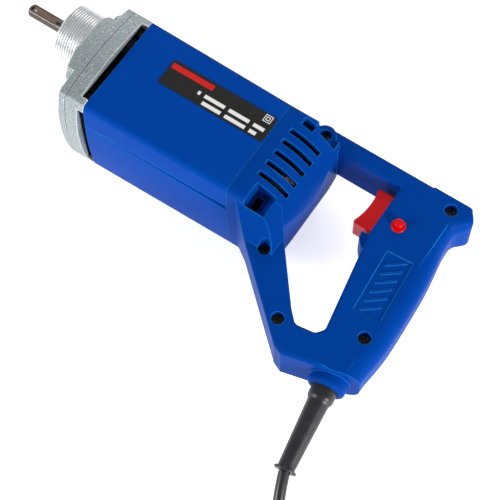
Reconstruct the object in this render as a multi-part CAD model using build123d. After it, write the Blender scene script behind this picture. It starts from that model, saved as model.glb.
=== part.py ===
"""Drive unit of a hand-held concrete vibrator: a geared motor with a D-handle, lying on its right side.

Millimetres. The origin is the centre of the threaded nose's front rim. +X runs forward along the spindle,
+Y towards the foot of the handle and +Z out of the left side, which is the upper one as the tool lies.
"""

import os
from math import acos, asin, atan2, cos, degrees, pi, sin, sqrt, tan

from build123d import *

# ---------------------------------------------------------------- driving sizes
# Threaded nose and spindle
NOSE_RADIUS = 21.0
NOSE_LENGTH = 27.0
NOSE_ROOT_RADIUS = 18.0
NOSE_MOUTH_RADIUS = 15.0
NOSE_MOUTH_DEPTH = 9.0
SPINDLE_REACH = 34.0
SPINDLE_TIP_RADIUS = 4.35
SPINDLE_RADIUS = 6.0
SPINDLE_JOURNAL_RADIUS = 4.0
SPINDLE_FLAT_DEPTH = 0.9
SPINDLE_FLAT_LENGTH = 20.0
DOME_HEIGHT = 2.6

# Gears
MODULE = 1.0
PINION_TEETH = 12
WHEEL_TEETH = 25
GEAR_WIDTH = 8.0
GEAR_BACKLASH = 0.26
ADDENDUM = 0.85
DEDENDUM = 1.25

# Castings
COVER_DEPTH = 14.0
COVER_STEP = 9.0
COVER_WALL = 4.0
BRACKET_DEPTH = 13.5
VENT_DEPTH = 4.5
VENT_HALF_SPAN = 31.0
FLANGE_HALF = 36.0
FLANGE_BULGE = 5.0
FLANGE_CORNER = 3.0
HUB_CORNER = 42.0
HUB_CHAMFER = 2.2
HUB_SLOPE_START = 20.0
SCREW_OFFSET = 29.5
SCREW_POCKET_RADIUS = 6.5
FLANGE_SCREW_RADIUS = 2.5
FLANGE_HEAD_RADIUS = 4.6
FLANGE_HEAD_HEIGHT = 3.4
FLANGE_SCREW_LENGTH = 36.0

# Motor housing
BARREL_LENGTH = 102.5
BARREL_HALF_WIDTH = 36.4
BARREL_HALF_FRONT = 36.2
BARREL_HALF_REAR = 34.4
BARREL_BULGE = 2.3
BARREL_CORNER = 3.5
BARREL_BORE_HALF = 31.0
BARREL_BORE_CORNER = 6.0
GROOVE_HEIGHT = 16.0
GROOVE_WIDTH = 6.0
GROOVE_DEPTH_FRONT = 0.3
GROOVE_DEPTH_REAR = 1.8
REAR_LIP = 3.0
PILLAR_RADIUS = 4.5

# Rear cover
COVER_WALL_THICKNESS = 3.0
DOME_CURVE = 31.0
DOME_CROWN = 160.0
DOME_START = 7.0
SLOT_COUNT = 5
SLOT_PITCH = 8.4
SLOT_WIDTH = 3.3
SLOT_START = 9.0
SLOT_LENGTH = 20.5
SLOT_FIRST = -19.2

# Handle
GRIP_HALF = 16.0
EDGE_ROUND = 2.2
HANDLE_WALL = 3.0
ARM_TOP = -25.6
ARM_THICKNESS = 11.0
HANDLE_SCREW_HEAD_RADIUS = 3.7
HANDLE_RECESS_RADIUS = 4.0
HANDLE_RECESS_DEPTH = 6.0
HANDLE_SCREW_RADIUS = 1.9
HANDLE_SCREW_LENGTH = 22.0
HANDLE_BOSS_RADIUS = 6.0

# Trigger, switch and lock button
TRIGGER_HALF = 8.4
TRIGGER_BACK = -237.0
TRIGGER_TOP = -10.4
TRIGGER_BOTTOM = 17.2
SWITCH_HALF = 8.0
SWITCH_FRONT = -243.6
SWITCH_BACK = -270.0
BUTTON_RADIUS = 2.95
BUTTON_STAND_OUT = 5.0
COLLAR_RADIUS = 4.5

# Motor
CORE_LENGTH = 55.0
CORE_FRONT = -78.0
CORE_RADIUS = 19.0
AIR_GAP = 0.5
SHAFT_RADIUS = 5.0
COMMUTATOR_RADIUS = 12.0
COMMUTATOR_LENGTH = 18.0
COMMUTATOR_CENTRE = -169.0
FAN_RADIUS = 29.0
FAN_BLADES = 9

# Cord
CORD_DIAMETER = 7.0
BOOT_TAPER_LENGTH = 44.0
BOOT_ROOT_RADIUS = 7.95
BOOT_WAIST_RADIUS = 6.6
BOOT_TIP_RADIUS = 5.3
BOOT_BEAD_RADIUS = 7.0
BOOT_BEAD_WIDTH = 2.0
COIL_MEAN_RADIUS = 38.5

# Clearances
RUNNING = 0.04
LOOSE = 0.25
PART_GAP = 0.2

# ---------------------------------------------------------------- places worked out from the sizes
MOTOR_Y = MODULE * (PINION_TEETH + WHEEL_TEETH) / 2
HUB_X = -NOSE_LENGTH
STEP_X = HUB_X - COVER_STEP
SEAM_X = HUB_X - COVER_DEPTH
VENT_X = SEAM_X - BRACKET_DEPTH + VENT_DEPTH
BARREL_X = SEAM_X - BRACKET_DEPTH
PART_X = BARREL_X - BARREL_LENGTH
FLOOR_Z = -(FLANGE_HALF + FLANGE_BULGE)
GEAR_FRONT = HUB_X - COVER_WALL - 1.0
GEAR_BACK = GEAR_FRONT - GEAR_WIDTH

os.makedirs("parts", exist_ok=True)


# ---------------------------------------------------------------- helpers
def save(name, shape):
    """Write one piece, or one group of like pieces, under its node's name."""
    solids = shape.solids()
    export_step(solids[0] if len(solids) == 1 else Compound(solids), f"parts/{name}.step")
    print(name, len(solids), round(shape.volume))


def rod(radius, x0, x1, y=0.0, z=0.0):
    """A cylinder along X between two stations."""
    return extrude(Plane.YZ.offset(min(x0, x1)) * Pos(y, z) * Circle(radius), abs(x1 - x0))


def ring(outer, inner, x0, x1, y=0.0, z=0.0):
    """A tube along X between two stations."""
    section = Circle(outer) - Circle(inner)
    return extrude(Plane.YZ.offset(min(x0, x1)) * Pos(y, z) * section, abs(x1 - x0))


def block(x0, x1, y0, y1, z0, z1):
    """A box between two corners."""
    centre = Pos((x0 + x1) / 2, (y0 + y1) / 2, (z0 + z1) / 2)
    return centre * Box(abs(x1 - x0), abs(y1 - y0), abs(z1 - z0))


def bulged_square(half_y, half_z, bulge_y, bulge_z, corner):
    """A square about the motor axis whose sides bow out, with rounded corners; x is Y and y is Z."""
    a, b = half_y, half_z
    sides = []
    for (y0, z0), (y1, z1), (my, mz) in (
        ((-a, -b), (a, -b), (0, -b - bulge_z)),
        ((a, -b), (a, b), (a + bulge_y, 0)),
        ((a, b), (-a, b), (0, b + bulge_z)),
        ((-a, b), (-a, -b), (-a - bulge_y, 0)),
    ):
        straight = bulge_z == 0 if my == 0 else bulge_y == 0
        sides.append(Line((y0, z0), (y1, z1)) if straight else ThreePointArc((y0, z0), (my, mz), (y1, z1)))
    face = make_face(Curve() + sides)
    return Pos(MOTOR_Y, 0) * fillet(face.vertices(), corner)


def slab(sketch, x0, x1):
    """A YZ section carried along X between two stations."""
    return extrude(Plane.YZ.offset(min(x0, x1)) * sketch, abs(x1 - x0))


def plate(sketch, half):
    """An XY outline carried to both sides of the mid-plane."""
    return extrude(sketch, half, both=True)


def polar(radius, angle):
    """A point on a circle, the angle in radians."""
    return (radius * cos(angle), radius * sin(angle))


def gear_section(teeth, phase):
    """An involute spur gear's outline: 20 degree flanks, thinned by half the backlash, shortened tips."""
    pitch = MODULE * teeth / 2
    base = pitch * cos(pi / 9)
    root = pitch - DEDENDUM * MODULE
    tip = pitch + ADDENDUM * MODULE
    half_tooth = (pi * MODULE - GEAR_BACKLASH) / (4 * pitch)
    involute_at_pitch = tan(pi / 9) - pi / 9
    start = max(base, root + 0.05)
    radii = [start + (tip - start) * k / 3 for k in range(4)]

    def half_angle(radius):
        alpha = acos(min(1.0, base / radius))
        return half_tooth + involute_at_pitch - (tan(alpha) - alpha)

    points = []
    for k in range(teeth):
        centre = phase + 2 * pi * k / teeth
        points.append(polar(root, centre - half_angle(start) - 0.02))
        points += [polar(r, centre - half_angle(r)) for r in radii]
        points += [polar(r, centre + half_angle(r)) for r in reversed(radii)]
        points.append(polar(root, centre + half_angle(start) + 0.02))
    return make_face(Polyline(*points, close=True))


def corner_points(offset):
    """The four corners of a square pattern about the motor axis, as (y, z)."""
    return [(MOTOR_Y + sy * offset, sz * offset) for sy in (-1, 1) for sz in (-1, 1)]


def groups(shapes):
    """Several separate solids as one compound."""
    solids = []
    for shape in shapes:
        solids += shape.solids()
    return Compound(solids)


# ---------------------------------------------------------------- nose, spindle and gears
FRONT_BEARING = dict(outer=14.0, width=8.0)
SEAL = dict(outer=11.0, width=6.0)
bearing_front_x = HUB_X + 6.0
bearing_back_x = bearing_front_x - FRONT_BEARING["width"]
seal_back_x = -NOSE_MOUTH_DEPTH - SEAL["width"]
CLIP_WIDTH = 0.8


def threaded_nose():
    """The turned nose: hose thread outside, bearing seat behind, seal seat and open mouth in front."""
    body = rod(NOSE_RADIUS, HUB_X, 0) + rod(NOSE_ROOT_RADIUS, HUB_X - COVER_WALL, HUB_X)
    body -= rod(FRONT_BEARING["outer"], HUB_X - COVER_WALL, bearing_front_x)
    body -= rod(SPINDLE_RADIUS + 2.0, HUB_X, 0)
    body -= rod(SEAL["outer"], seal_back_x, 0)
    body -= rod(NOSE_MOUTH_RADIUS, -NOSE_MOUTH_DEPTH, 0)
    rim = body.edges().filter_by(GeomType.CIRCLE).group_by(Axis.X)[-1]
    return chamfer(rim, 0.6)


def spindle():
    """The output shaft, turned in steps, with a domed and flatted driving end."""
    tip_base = SPINDLE_REACH - DOME_HEIGHT
    shoulder = -NOSE_MOUTH_DEPTH - 1.0
    seat_back = GEAR_BACK - CLIP_WIDTH
    end = SEAM_X - 10.0
    dome_radius = (SPINDLE_TIP_RADIUS**2 + DOME_HEIGHT**2) / (2 * DOME_HEIGHT)
    half_way = polar(dome_radius, asin(SPINDLE_TIP_RADIUS / dome_radius) / 2)
    dome_middle = (SPINDLE_REACH - dome_radius + half_way[0], half_way[1])
    seat = SPINDLE_RADIUS - RUNNING
    journal = SPINDLE_JOURNAL_RADIUS - RUNNING
    steps = Polyline(
        (SPINDLE_REACH, 0), (end, 0), (end, journal), (seat_back, journal), (seat_back, seat), (shoulder, seat),
        (shoulder, SPINDLE_TIP_RADIUS), (tip_base, SPINDLE_TIP_RADIUS),
    )
    dome = ThreePointArc((tip_base, SPINDLE_TIP_RADIUS), dome_middle, (SPINDLE_REACH, 0))
    shaft = revolve(make_face(Curve() + [steps, dome]), Axis.X)
    flat_x = tip_base - SPINDLE_FLAT_LENGTH
    flat_z = SPINDLE_TIP_RADIUS - SPINDLE_FLAT_DEPTH
    for side in (-1, 1):
        z0, z1 = sorted((side * flat_z, side * (flat_z + 5)))
        shaft -= block(flat_x, tip_base - 1.0, -6, 6, z0, z1)
    return shaft - block(GEAR_BACK + 1, GEAR_FRONT - 1, -1.5, 1.5, SPINDLE_RADIUS - 2, SPINDLE_RADIUS + 1)


def spindle_gear():
    """The driven wheel, with a key slot; a gap between teeth faces the pinion."""
    wheel = slab(gear_section(WHEEL_TEETH, pi / WHEEL_TEETH), GEAR_BACK, GEAR_FRONT)
    wheel -= rod(SPINDLE_RADIUS, GEAR_BACK - 1, GEAR_FRONT + 1)
    wheel -= block(GEAR_BACK - 1, GEAR_FRONT + 1, -1.5 - RUNNING, 1.5 + RUNNING, 0, SPINDLE_RADIUS + 1.2)
    return wheel


def gear_key():
    """The key between spindle and wheel."""
    return block(GEAR_BACK + 1.1, GEAR_FRONT - 1.1, -1.45, 1.45, SPINDLE_RADIUS - 1.95, SPINDLE_RADIUS + 1.1)


def spindle_circlip():
    """The spring ring that holds the wheel on the spindle."""
    clip = ring(SPINDLE_RADIUS + 1.8, SPINDLE_RADIUS, GEAR_BACK - CLIP_WIDTH, GEAR_BACK)
    return clip - block(GEAR_BACK - 2, GEAR_BACK + 1, -1.2, 1.2, -12, 0)


def ball_bearing(x0, width, outer, bore, y):
    """A shielded ball bearing: two rings with a recessed shield between them."""
    body = ring(outer, bore, x0, x0 + width, y)
    mid = (outer + bore) / 2
    half = (outer - bore) * 0.28
    for x in (x0, x0 + width - 0.5):
        body -= ring(mid + half, mid - half, x, x + 0.5, y)
    return body


# ---------------------------------------------------------------- castings
MOTOR_BEARING = dict(outer=11.0, bore=4.0, width=7.0)
NEEDLE = dict(outer=6.0, width=8.0)
motor_bearing_x = VENT_X
needle_x = VENT_X - 1.0


def gear_room(x0, x1, extra=0.0):
    """The space round the two gears."""
    wheel = MODULE * (WHEEL_TEETH / 2 + 1) + 1.5 + extra
    pinion = MODULE * (PINION_TEETH / 2 + 1) + 1.5 + extra
    return rod(wheel, x0, x1) + rod(pinion, x0, x1, MOTOR_Y)


def front_cover():
    """The front casting: a flange with a raised hub that is cut back round the four screws."""
    flange = bulged_square(FLANGE_HALF, FLANGE_HALF, FLANGE_BULGE, FLANGE_BULGE, FLANGE_CORNER)
    corners = Pos(MOTOR_Y, 0) * Rot(0, 0, 45) * Rectangle(2 * HUB_CORNER, 2 * HUB_CORNER)
    hub = slab(flange, STEP_X, HUB_X) & slab(corners, STEP_X, HUB_X)
    hub = chamfer(hub.faces().sort_by(Axis.X)[-1].edges(), HUB_CHAMFER)
    foot_side = MOTOR_Y + FLANGE_HALF + FLANGE_BULGE
    ahead = HUB_X + 5.0
    slope = Polyline(
        (HUB_X, HUB_SLOPE_START), (ahead, HUB_SLOPE_START), (ahead, foot_side), (STEP_X, foot_side), close=True,
    )
    hub -= extrude(make_face(slope), FLANGE_HALF + FLANGE_BULGE, both=True)
    body = slab(flange, SEAM_X, STEP_X) + hub
    for y, z in corner_points(SCREW_OFFSET):
        body -= rod(SCREW_POCKET_RADIUS, STEP_X, HUB_X + 1, y, z)
        body -= rod(FLANGE_SCREW_RADIUS + LOOSE, SEAM_X - 1, STEP_X + 1, y, z)
    body -= gear_room(SEAM_X, HUB_X - COVER_WALL)
    return body - rod(NOSE_ROOT_RADIUS, HUB_X - COVER_WALL - 1, HUB_X + 1)


def gear_bracket():
    """The middle casting: bearing wall, and four posts with the cooling vents between them."""
    flange = bulged_square(FLANGE_HALF, FLANGE_HALF, FLANGE_BULGE, FLANGE_BULGE, FLANGE_CORNER)
    body = slab(flange, VENT_X, SEAM_X)
    posts = slab(flange, BARREL_X, VENT_X)
    posts -= slab(Pos(MOTOR_Y, 0) * Rectangle(2 * FLANGE_HALF + 20, 49), BARREL_X - 1, VENT_X)
    posts -= slab(Pos(MOTOR_Y, 0) * Rectangle(49, 2 * FLANGE_HALF + 20), BARREL_X - 1, VENT_X)
    reach = 2 * FLANGE_HALF + 20
    outer = Rectangle(2 * VENT_HALF_SPAN, reach) + Rectangle(reach, 2 * VENT_HALF_SPAN)
    outer -= Rectangle(2 * VENT_HALF_SPAN + 4, 2 * VENT_HALF_SPAN + 4)
    body += posts - slab(Pos(MOTOR_Y, 0) * outer, BARREL_X - 1, VENT_X)
    body += rod(NEEDLE["outer"] + 2.0, VENT_X - 3.0, VENT_X)
    body -= rod(NEEDLE["outer"], needle_x, needle_x + NEEDLE["width"])
    body -= rod(SPINDLE_JOURNAL_RADIUS + 1.0, needle_x - 3, SEAM_X + 1)
    body -= rod(MOTOR_BEARING["outer"], VENT_X - 4, motor_bearing_x + MOTOR_BEARING["width"], MOTOR_Y)
    body -= rod(MODULE * (PINION_TEETH / 2 + 1) + 1.0, VENT_X, SEAM_X + 1, MOTOR_Y)
    for y, z in corner_points(SCREW_OFFSET):
        body -= rod(FLANGE_SCREW_RADIUS + LOOSE, BARREL_X - 1, SEAM_X + 1, y, z)
    return body


def flange_screw(y, z):
    """A black dome-headed screw with a hexagon socket."""
    head_ball = (FLANGE_HEAD_RADIUS**2 + FLANGE_HEAD_HEIGHT**2) / (2 * FLANGE_HEAD_HEIGHT)
    top = STEP_X + FLANGE_HEAD_HEIGHT
    half_way = polar(head_ball, asin(FLANGE_HEAD_RADIUS / head_ball) / 2)
    dome = ThreePointArc((STEP_X, FLANGE_HEAD_RADIUS), (top - head_ball + half_way[0], half_way[1]), (top, 0))
    tip = STEP_X - FLANGE_SCREW_LENGTH
    side = Polyline(
        (top, 0), (tip, 0), (tip, FLANGE_SCREW_RADIUS),
        (STEP_X, FLANGE_SCREW_RADIUS), (STEP_X, FLANGE_HEAD_RADIUS),
    )
    body = Pos(0, y, z) * revolve(make_face(Curve() + [side, dome]), Axis.X)
    socket = Plane.YZ.offset(STEP_X + 1.2) * Pos(y, z) * RegularPolygon(1.6, 6, major_radius=False)
    return body - extrude(socket, FLANGE_HEAD_HEIGHT)


# ---------------------------------------------------------------- armature
core_back_x = CORE_FRONT - CORE_LENGTH
commutator_back_x = COMMUTATOR_CENTRE - COMMUTATOR_LENGTH / 2
REAR_BEARING = dict(outer=9.5, bore=3.5, width=6.0)
rear_bearing_x = commutator_back_x - 11.0


def armature_shaft():
    """The motor shaft with the pinion cut on its front end; a pinion tooth faces the wheel."""
    shaft = rod(SHAFT_RADIUS, rear_bearing_x + REAR_BEARING["width"] + 1.0, VENT_X - 1.0, MOTOR_Y)
    shaft += rod(MOTOR_BEARING["bore"] - RUNNING, VENT_X - 1.0, GEAR_BACK, MOTOR_Y)
    shaft += rod(REAR_BEARING["bore"] - RUNNING, rear_bearing_x, rear_bearing_x + 8.0, MOTOR_Y)
    return shaft + slab(Pos(MOTOR_Y, 0) * gear_section(PINION_TEETH, pi), GEAR_BACK, GEAR_FRONT)


def armature_core():
    """The laminated stack, with open winding slots."""
    section = Circle(CORE_RADIUS) - Circle(SHAFT_RADIUS)
    for k in range(12):
        slot = Pos(CORE_RADIUS - 4.0, 0) * SlotOverall(9.0, 4.4)
        mouth = Pos(CORE_RADIUS, 0) * Rectangle(4.0, 1.6)
        section -= Rot(0, 0, 15 + 30 * k) * (slot + mouth)
    return slab(Pos(MOTOR_Y, 0) * section, core_back_x, CORE_FRONT)


def armature_windings():
    """The end turns at both faces of the stack: two rounded drums."""
    drums = []
    for x0, x1 in ((CORE_FRONT, CORE_FRONT + 9.0), (core_back_x - 12.0, core_back_x)):
        drum = ring(CORE_RADIUS - 2.0, SHAFT_RADIUS, x0, x1, MOTOR_Y)
        outer = drum.edges().filter_by(GeomType.CIRCLE).group_by(SortBy.RADIUS)[-1]
        drums.append(fillet(outer, 3.0))
    return groups(drums)


def commutator():
    """The copper commutator: segments parted by slits, with a raised riser ring in front."""
    section = Circle(COMMUTATOR_RADIUS) - Circle(SHAFT_RADIUS)
    for k in range(24):
        section -= Rot(0, 0, 15 * k) * Pos(COMMUTATOR_RADIUS, 0) * Rectangle(2.0, 0.5)
    body = slab(Pos(MOTOR_Y, 0) * section, commutator_back_x, commutator_back_x + COMMUTATOR_LENGTH)
    front = commutator_back_x + COMMUTATOR_LENGTH
    return body + ring(COMMUTATOR_RADIUS + 1.5, SHAFT_RADIUS, front, front + 2.5, MOTOR_Y)


fan_x = BARREL_X - 10.5


def fan():
    """The cooling fan: hub, back disc and straight blades."""
    body = ring(9.0, SHAFT_RADIUS, fan_x, fan_x + 9.0, MOTOR_Y)
    body += ring(FAN_RADIUS, SHAFT_RADIUS, fan_x, fan_x + 1.8, MOTOR_Y)
    blade = Pos((FAN_RADIUS + 8.0) / 2, 0) * Rectangle(FAN_RADIUS - 8.0, 1.6)
    blades = Sketch() + [Rot(0, 0, 360 * k / FAN_BLADES) * blade for k in range(FAN_BLADES)]
    return body + slab(Pos(MOTOR_Y, 0) * blades, fan_x, fan_x + 9.0)


# ---------------------------------------------------------------- stator and brush gear
COIL_INNER = 17.0
COIL_OUTER = 25.0
COIL_LOW = CORE_RADIUS + AIR_GAP + 0.4
COIL_HIGH = 26.4
STATOR_SCREW_Y = BARREL_BORE_HALF - 2.9


def stator_core():
    """The field stack: two poles above and below the armature, with winding slots beside them."""
    half = BARREL_BORE_HALF - 0.05
    section = RectangleRounded(2 * half, 2 * half, BARREL_BORE_CORNER) - Circle(CORE_RADIUS + AIR_GAP)
    for side in (-1, 1):
        centre = side * (COIL_INNER + COIL_OUTER) / 2
        section -= Pos(centre, 0) * Rectangle(COIL_OUTER - COIL_INNER + 0.4, 2 * COIL_HIGH + 0.6)
    for side in (-1, 1):
        section -= Pos(side * STATOR_SCREW_Y, 0) * Circle(2.1)
    return slab(Pos(MOTOR_Y, 0) * section, core_back_x, CORE_FRONT)


def field_coils():
    """Two flat rectangular coils, one round each pole."""
    coils = []
    for side in (-1, 1):
        length = CORE_LENGTH
        outline = RectangleRounded(length + 18, 2 * COIL_OUTER, 6)
        outline -= RectangleRounded(length + 2, 2 * COIL_INNER, 1)
        base = Pos((CORE_FRONT + core_back_x) / 2, MOTOR_Y, side * COIL_LOW) * outline
        coils.append(extrude(base, side * (COIL_HIGH - COIL_LOW)))
    return groups(coils)


def stator_screws():
    """Two long screws that hold the stack against the barrel's rear lip."""
    screws = []
    for side in (-1, 1):
        y = MOTOR_Y + side * STATOR_SCREW_Y
        screws.append(rod(2.0, PART_X + 0.5, CORE_FRONT, y) + rod(2.7, CORE_FRONT, CORE_FRONT + 2.2, y))
    return groups(screws)


def air_baffle():
    """The plate that makes the fan draw its air through the motor."""
    half = BARREL_BORE_HALF - 0.05
    section = RectangleRounded(2 * half, 2 * half, BARREL_BORE_CORNER) - Circle(22.0)
    body = slab(Pos(MOTOR_Y, 0) * section, fan_x - 3.5, fan_x - 1.5)
    for y, z in corner_points(SCREW_OFFSET):
        body -= rod(PILLAR_RADIUS + LOOSE, fan_x - 4, fan_x, y, z)
    return body


BRUSH = dict(along=6.4, wide=9.0, length=12.0)
BRUSH_TOP = 28.5


def end_bracket():
    """The moulded rear bracket: a ring on the barrel's end, two brush blocks and the rear bearing cup."""
    back = rear_bearing_x
    body = slab(Pos(MOTOR_Y, 0) * (Circle(29.5) - Circle(20.0)), PART_X - 3.0, PART_X)
    x0 = COMMUTATOR_CENTRE - BRUSH["along"] / 2 - 3.0
    for side in (-1, 1):
        y0, y1 = sorted((MOTOR_Y + side * 14.0, MOTOR_Y + side * BRUSH_TOP))
        body += block(x0, PART_X, y0, y1, -8.0, 8.0)
        body += block(back, x0, *sorted((MOTOR_Y + side * 14.0, MOTOR_Y + side * 18.0)), -8.0, 8.0)
        hole = block(COMMUTATOR_CENTRE - 4.0, COMMUTATOR_CENTRE + 4.0, y0 - 1, y1 + 1, -5.3, 5.3)
        body -= hole
    body += block(back, back + 4.0, MOTOR_Y - 18.0, MOTOR_Y + 18.0, -8.0, 8.0)
    body += rod(REAR_BEARING["outer"] + 2.5, back, back + REAR_BEARING["width"], MOTOR_Y)
    body -= rod(REAR_BEARING["outer"], back + 0.8, back + 10, MOTOR_Y)
    return body - rod(REAR_BEARING["bore"] + 1.5, back - 1, back + 2, MOTOR_Y)


def brush_holders():
    """Two brass guides set in the brush blocks, each closed by a cap."""
    holders = []
    for side in (-1, 1):
        y0, y1 = sorted((MOTOR_Y + side * 13.4, MOTOR_Y + side * BRUSH_TOP))
        tube = block(COMMUTATOR_CENTRE - 4.0, COMMUTATOR_CENTRE + 4.0, y0, y1, -5.3, 5.3)
        tube -= block(COMMUTATOR_CENTRE - 3.25, COMMUTATOR_CENTRE + 3.25, y0 - 1, y1 + 1, -4.55, 4.55)
        c0, c1 = sorted((MOTOR_Y + side * BRUSH_TOP, MOTOR_Y + side * (BRUSH_TOP + 0.8)))
        tube += block(COMMUTATOR_CENTRE - 5.5, COMMUTATOR_CENTRE + 5.5, c0, c1, -6.5, 6.5)
        holders.append(tube)
    return groups(holders)


def brushes():
    """Two carbon blocks whose faces are hollowed to the commutator."""
    blocks = []
    for side in (-1, 1):
        inner = COMMUTATOR_RADIUS - 0.6
        y0, y1 = sorted((MOTOR_Y + side * inner, MOTOR_Y + side * (inner + BRUSH["length"])))
        half = BRUSH["along"] / 2
        carbon = block(COMMUTATOR_CENTRE - half, COMMUTATOR_CENTRE + half, y0, y1, -4.5, 4.5)
        face = rod(COMMUTATOR_RADIUS + 0.1, COMMUTATOR_CENTRE - 9, COMMUTATOR_CENTRE + 9, MOTOR_Y)
        blocks.append(carbon - face)
    return groups(blocks)


def brush_springs():
    """Two coil springs, as sleeves of their outer shape, between brush and cap."""
    sleeves = []
    for side in (-1, 1):
        start = MOTOR_Y + side * (COMMUTATOR_RADIUS - 0.6 + BRUSH["length"])
        length = BRUSH_TOP - (COMMUTATOR_RADIUS - 0.6 + BRUSH["length"])
        base = Plane.XZ.offset(-start) * Pos(COMMUTATOR_CENTRE, 0) * (Circle(2.8) - Circle(2.0))
        sleeves.append(extrude(base, -side * length))
    return groups(sleeves)


# ---------------------------------------------------------------- motor housing and label
def barrel_section(half_y):
    """The barrel's outside: flat left and right panels, bowed top and bottom."""
    return bulged_square(half_y, BARREL_HALF_WIDTH, BARREL_BULGE, 0, BARREL_CORNER)


def motor_housing():
    """The moulded barrel: a slight draft towards the rear, corner screw pillars and a rear lip."""
    front = Plane.YZ.offset(BARREL_X) * barrel_section(BARREL_HALF_FRONT)
    rear = Plane.YZ.offset(PART_X) * barrel_section(BARREL_HALF_REAR)
    body = loft(Sketch() + [rear, front])
    bore = Pos(MOTOR_Y, 0) * RectangleRounded(2 * BARREL_BORE_HALF, 2 * BARREL_BORE_HALF, BARREL_BORE_CORNER)
    body -= slab(bore, PART_X + REAR_LIP, BARREL_X + 1)
    body -= rod(24.0, PART_X - 1, PART_X + REAR_LIP + 1, MOTOR_Y)
    for y, z in corner_points(SCREW_OFFSET):
        body += rod(PILLAR_RADIUS, STEP_X - FLANGE_SCREW_LENGTH - 3.0, BARREL_X, y, z)
    body &= slab(barrel_section(BARREL_HALF_FRONT), PART_X, BARREL_X)
    for y, z in corner_points(SCREW_OFFSET):
        body -= rod(FLANGE_SCREW_RADIUS, STEP_X - FLANGE_SCREW_LENGTH, BARREL_X + 1, y, z)
    for side in (-1, 1):
        body -= rod(2.0, PART_X + 0.5, PART_X + REAR_LIP + 1, MOTOR_Y + side * STATOR_SCREW_Y)
    groove = []
    for x, half_y, depth in (
        (PART_X - 0.5, BARREL_HALF_REAR, GROOVE_DEPTH_REAR),
        (BARREL_X + 0.5, BARREL_HALF_FRONT, GROOVE_DEPTH_FRONT),
    ):
        surface = MOTOR_Y + half_y + BARREL_BULGE * (1 - (GROOVE_HEIGHT / BARREL_HALF_WIDTH) ** 2)
        half = GROOVE_WIDTH / 2 * depth / GROOVE_DEPTH_REAR + 0.2
        profile = Polyline(
            (surface + 2, GROOVE_HEIGHT - half), (surface + 2, GROOVE_HEIGHT + half),
            (surface - depth, GROOVE_HEIGHT + half * 0.6), (surface - depth, GROOVE_HEIGHT - half * 0.6),
            close=True,
        )
        groove.append(Plane.YZ.offset(x) * make_face(profile))
    return body - loft(Sketch() + groove)


LABEL = dict(length=75.0, height=18.4, thickness=0.4, rear_gap=0.6, centre_y=6.6)


def nameplate_label():
    """The printed foil on the left panel, ending just ahead of the rear seam."""
    x0 = PART_X + LABEL["rear_gap"]
    y0 = LABEL["centre_y"] - LABEL["height"] / 2
    z0 = BARREL_HALF_WIDTH
    return block(x0, x0 + LABEL["length"], y0, y0 + LABEL["height"], z0, z0 + LABEL["thickness"])


# ---------------------------------------------------------------- clamshell: rear cover and D-handle
ARM_BOTTOM = ARM_TOP + ARM_THICKNESS
SCREWS = {  # x, y and the height of the left shell's face there
    "arm_root": (-180.5, -17.0, 20.0),
    "horn": (-268.8, -17.6, GRIP_HALF),
    "front_arm_top": (-190.8, 64.2, GRIP_HALF),
    "front_arm_foot": (-221.6, 96.3, GRIP_HALF),
    "grip_foot": (-269.4, 79.2, GRIP_HALF),
}
COLLAR = dict(x=-264.0, y=107.0, outer=11.6, inner=8.2, height=6.0)
EXIT = Vector(-0.121, 0.993, 0).normalized()


def dome_block(inset):
    """The rear cover's body: the barrel's section ended by a crowned dome, shrunk by an inset."""
    half_y = BARREL_HALF_REAR - inset
    half_z = BARREL_HALF_WIDTH - inset
    section = bulged_square(half_y, half_z, BARREL_BULGE, 0, max(BARREL_CORNER - inset / 2, 1.5))
    body = slab(section, PART_X - 60, PART_X)
    start = PART_X - DOME_START
    curve = DOME_CURVE - inset
    flat_z = half_z - curve
    back = start - curve
    side = make_face(
        Curve()
        + [
            Line((PART_X, -half_z), (PART_X, half_z)),
            Line((PART_X, half_z), (start, half_z)),
            RadiusArc((start, half_z), (back, flat_z), -curve),
            Line((back, flat_z), (back, -flat_z)),
            RadiusArc((back, -flat_z), (start, -half_z), -curve),
            Line((start, -half_z), (PART_X, -half_z)),
        ]
    )
    side = Plane.XZ.offset(-MOTOR_Y) * side
    body &= extrude(side, 60, both=True)
    crown = Pos(back + DOME_CROWN, MOTOR_Y) * Circle(DOME_CROWN)
    return body & plate(crown, 60)


def handle_outline():
    """The outside of the D in the mid-plane: upper arm, back of the grip, foot and front arm."""
    outline = Polyline(
        (PART_X, -12.0), (PART_X, -21.5), (-184.0, ARM_TOP), (-272.0, ARM_TOP), (-272.0, 103.8),
        (-234.5, 113.3), (-228.6, 110.8), (-158.5, 49.0), (PART_X, 46.0), close=True,
    )
    return make_face(outline)


def hand_hole():
    """The opening of the D, between the front arm and the grip."""
    corners = [(-186.0, ARM_BOTTOM), (-236.0, ARM_BOTTOM), (-236.0, 20.0), (-247.6, 86.5), (-244.0, 91.4),
               (-231.5, 93.2), (-224.6, 86.4), (-186.0, 39.0)]
    face = make_face(Polyline(*corners, close=True))
    low = [v for v in face.vertices() if v.Y > 80]
    return fillet(low, 4.0)


GRIP_STATIONS = [  # y, back x, rear rounding
    (ARM_TOP, -279.3, 2.4), (-20.5, -283.0, 4.0), (-16.0, -283.4, 5.5), (-11.0, -279.6, 7.5), (-5.0, -277.3, 9.0),
    (2.0, -277.6, 10.0), (14.0, -279.2, 10.0), (35.0, -281.6, 10.0), (60.0, -282.8, 10.0), (85.0, -282.4, 10.0),
    (106.0, -281.6, 10.0),
]


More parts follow.
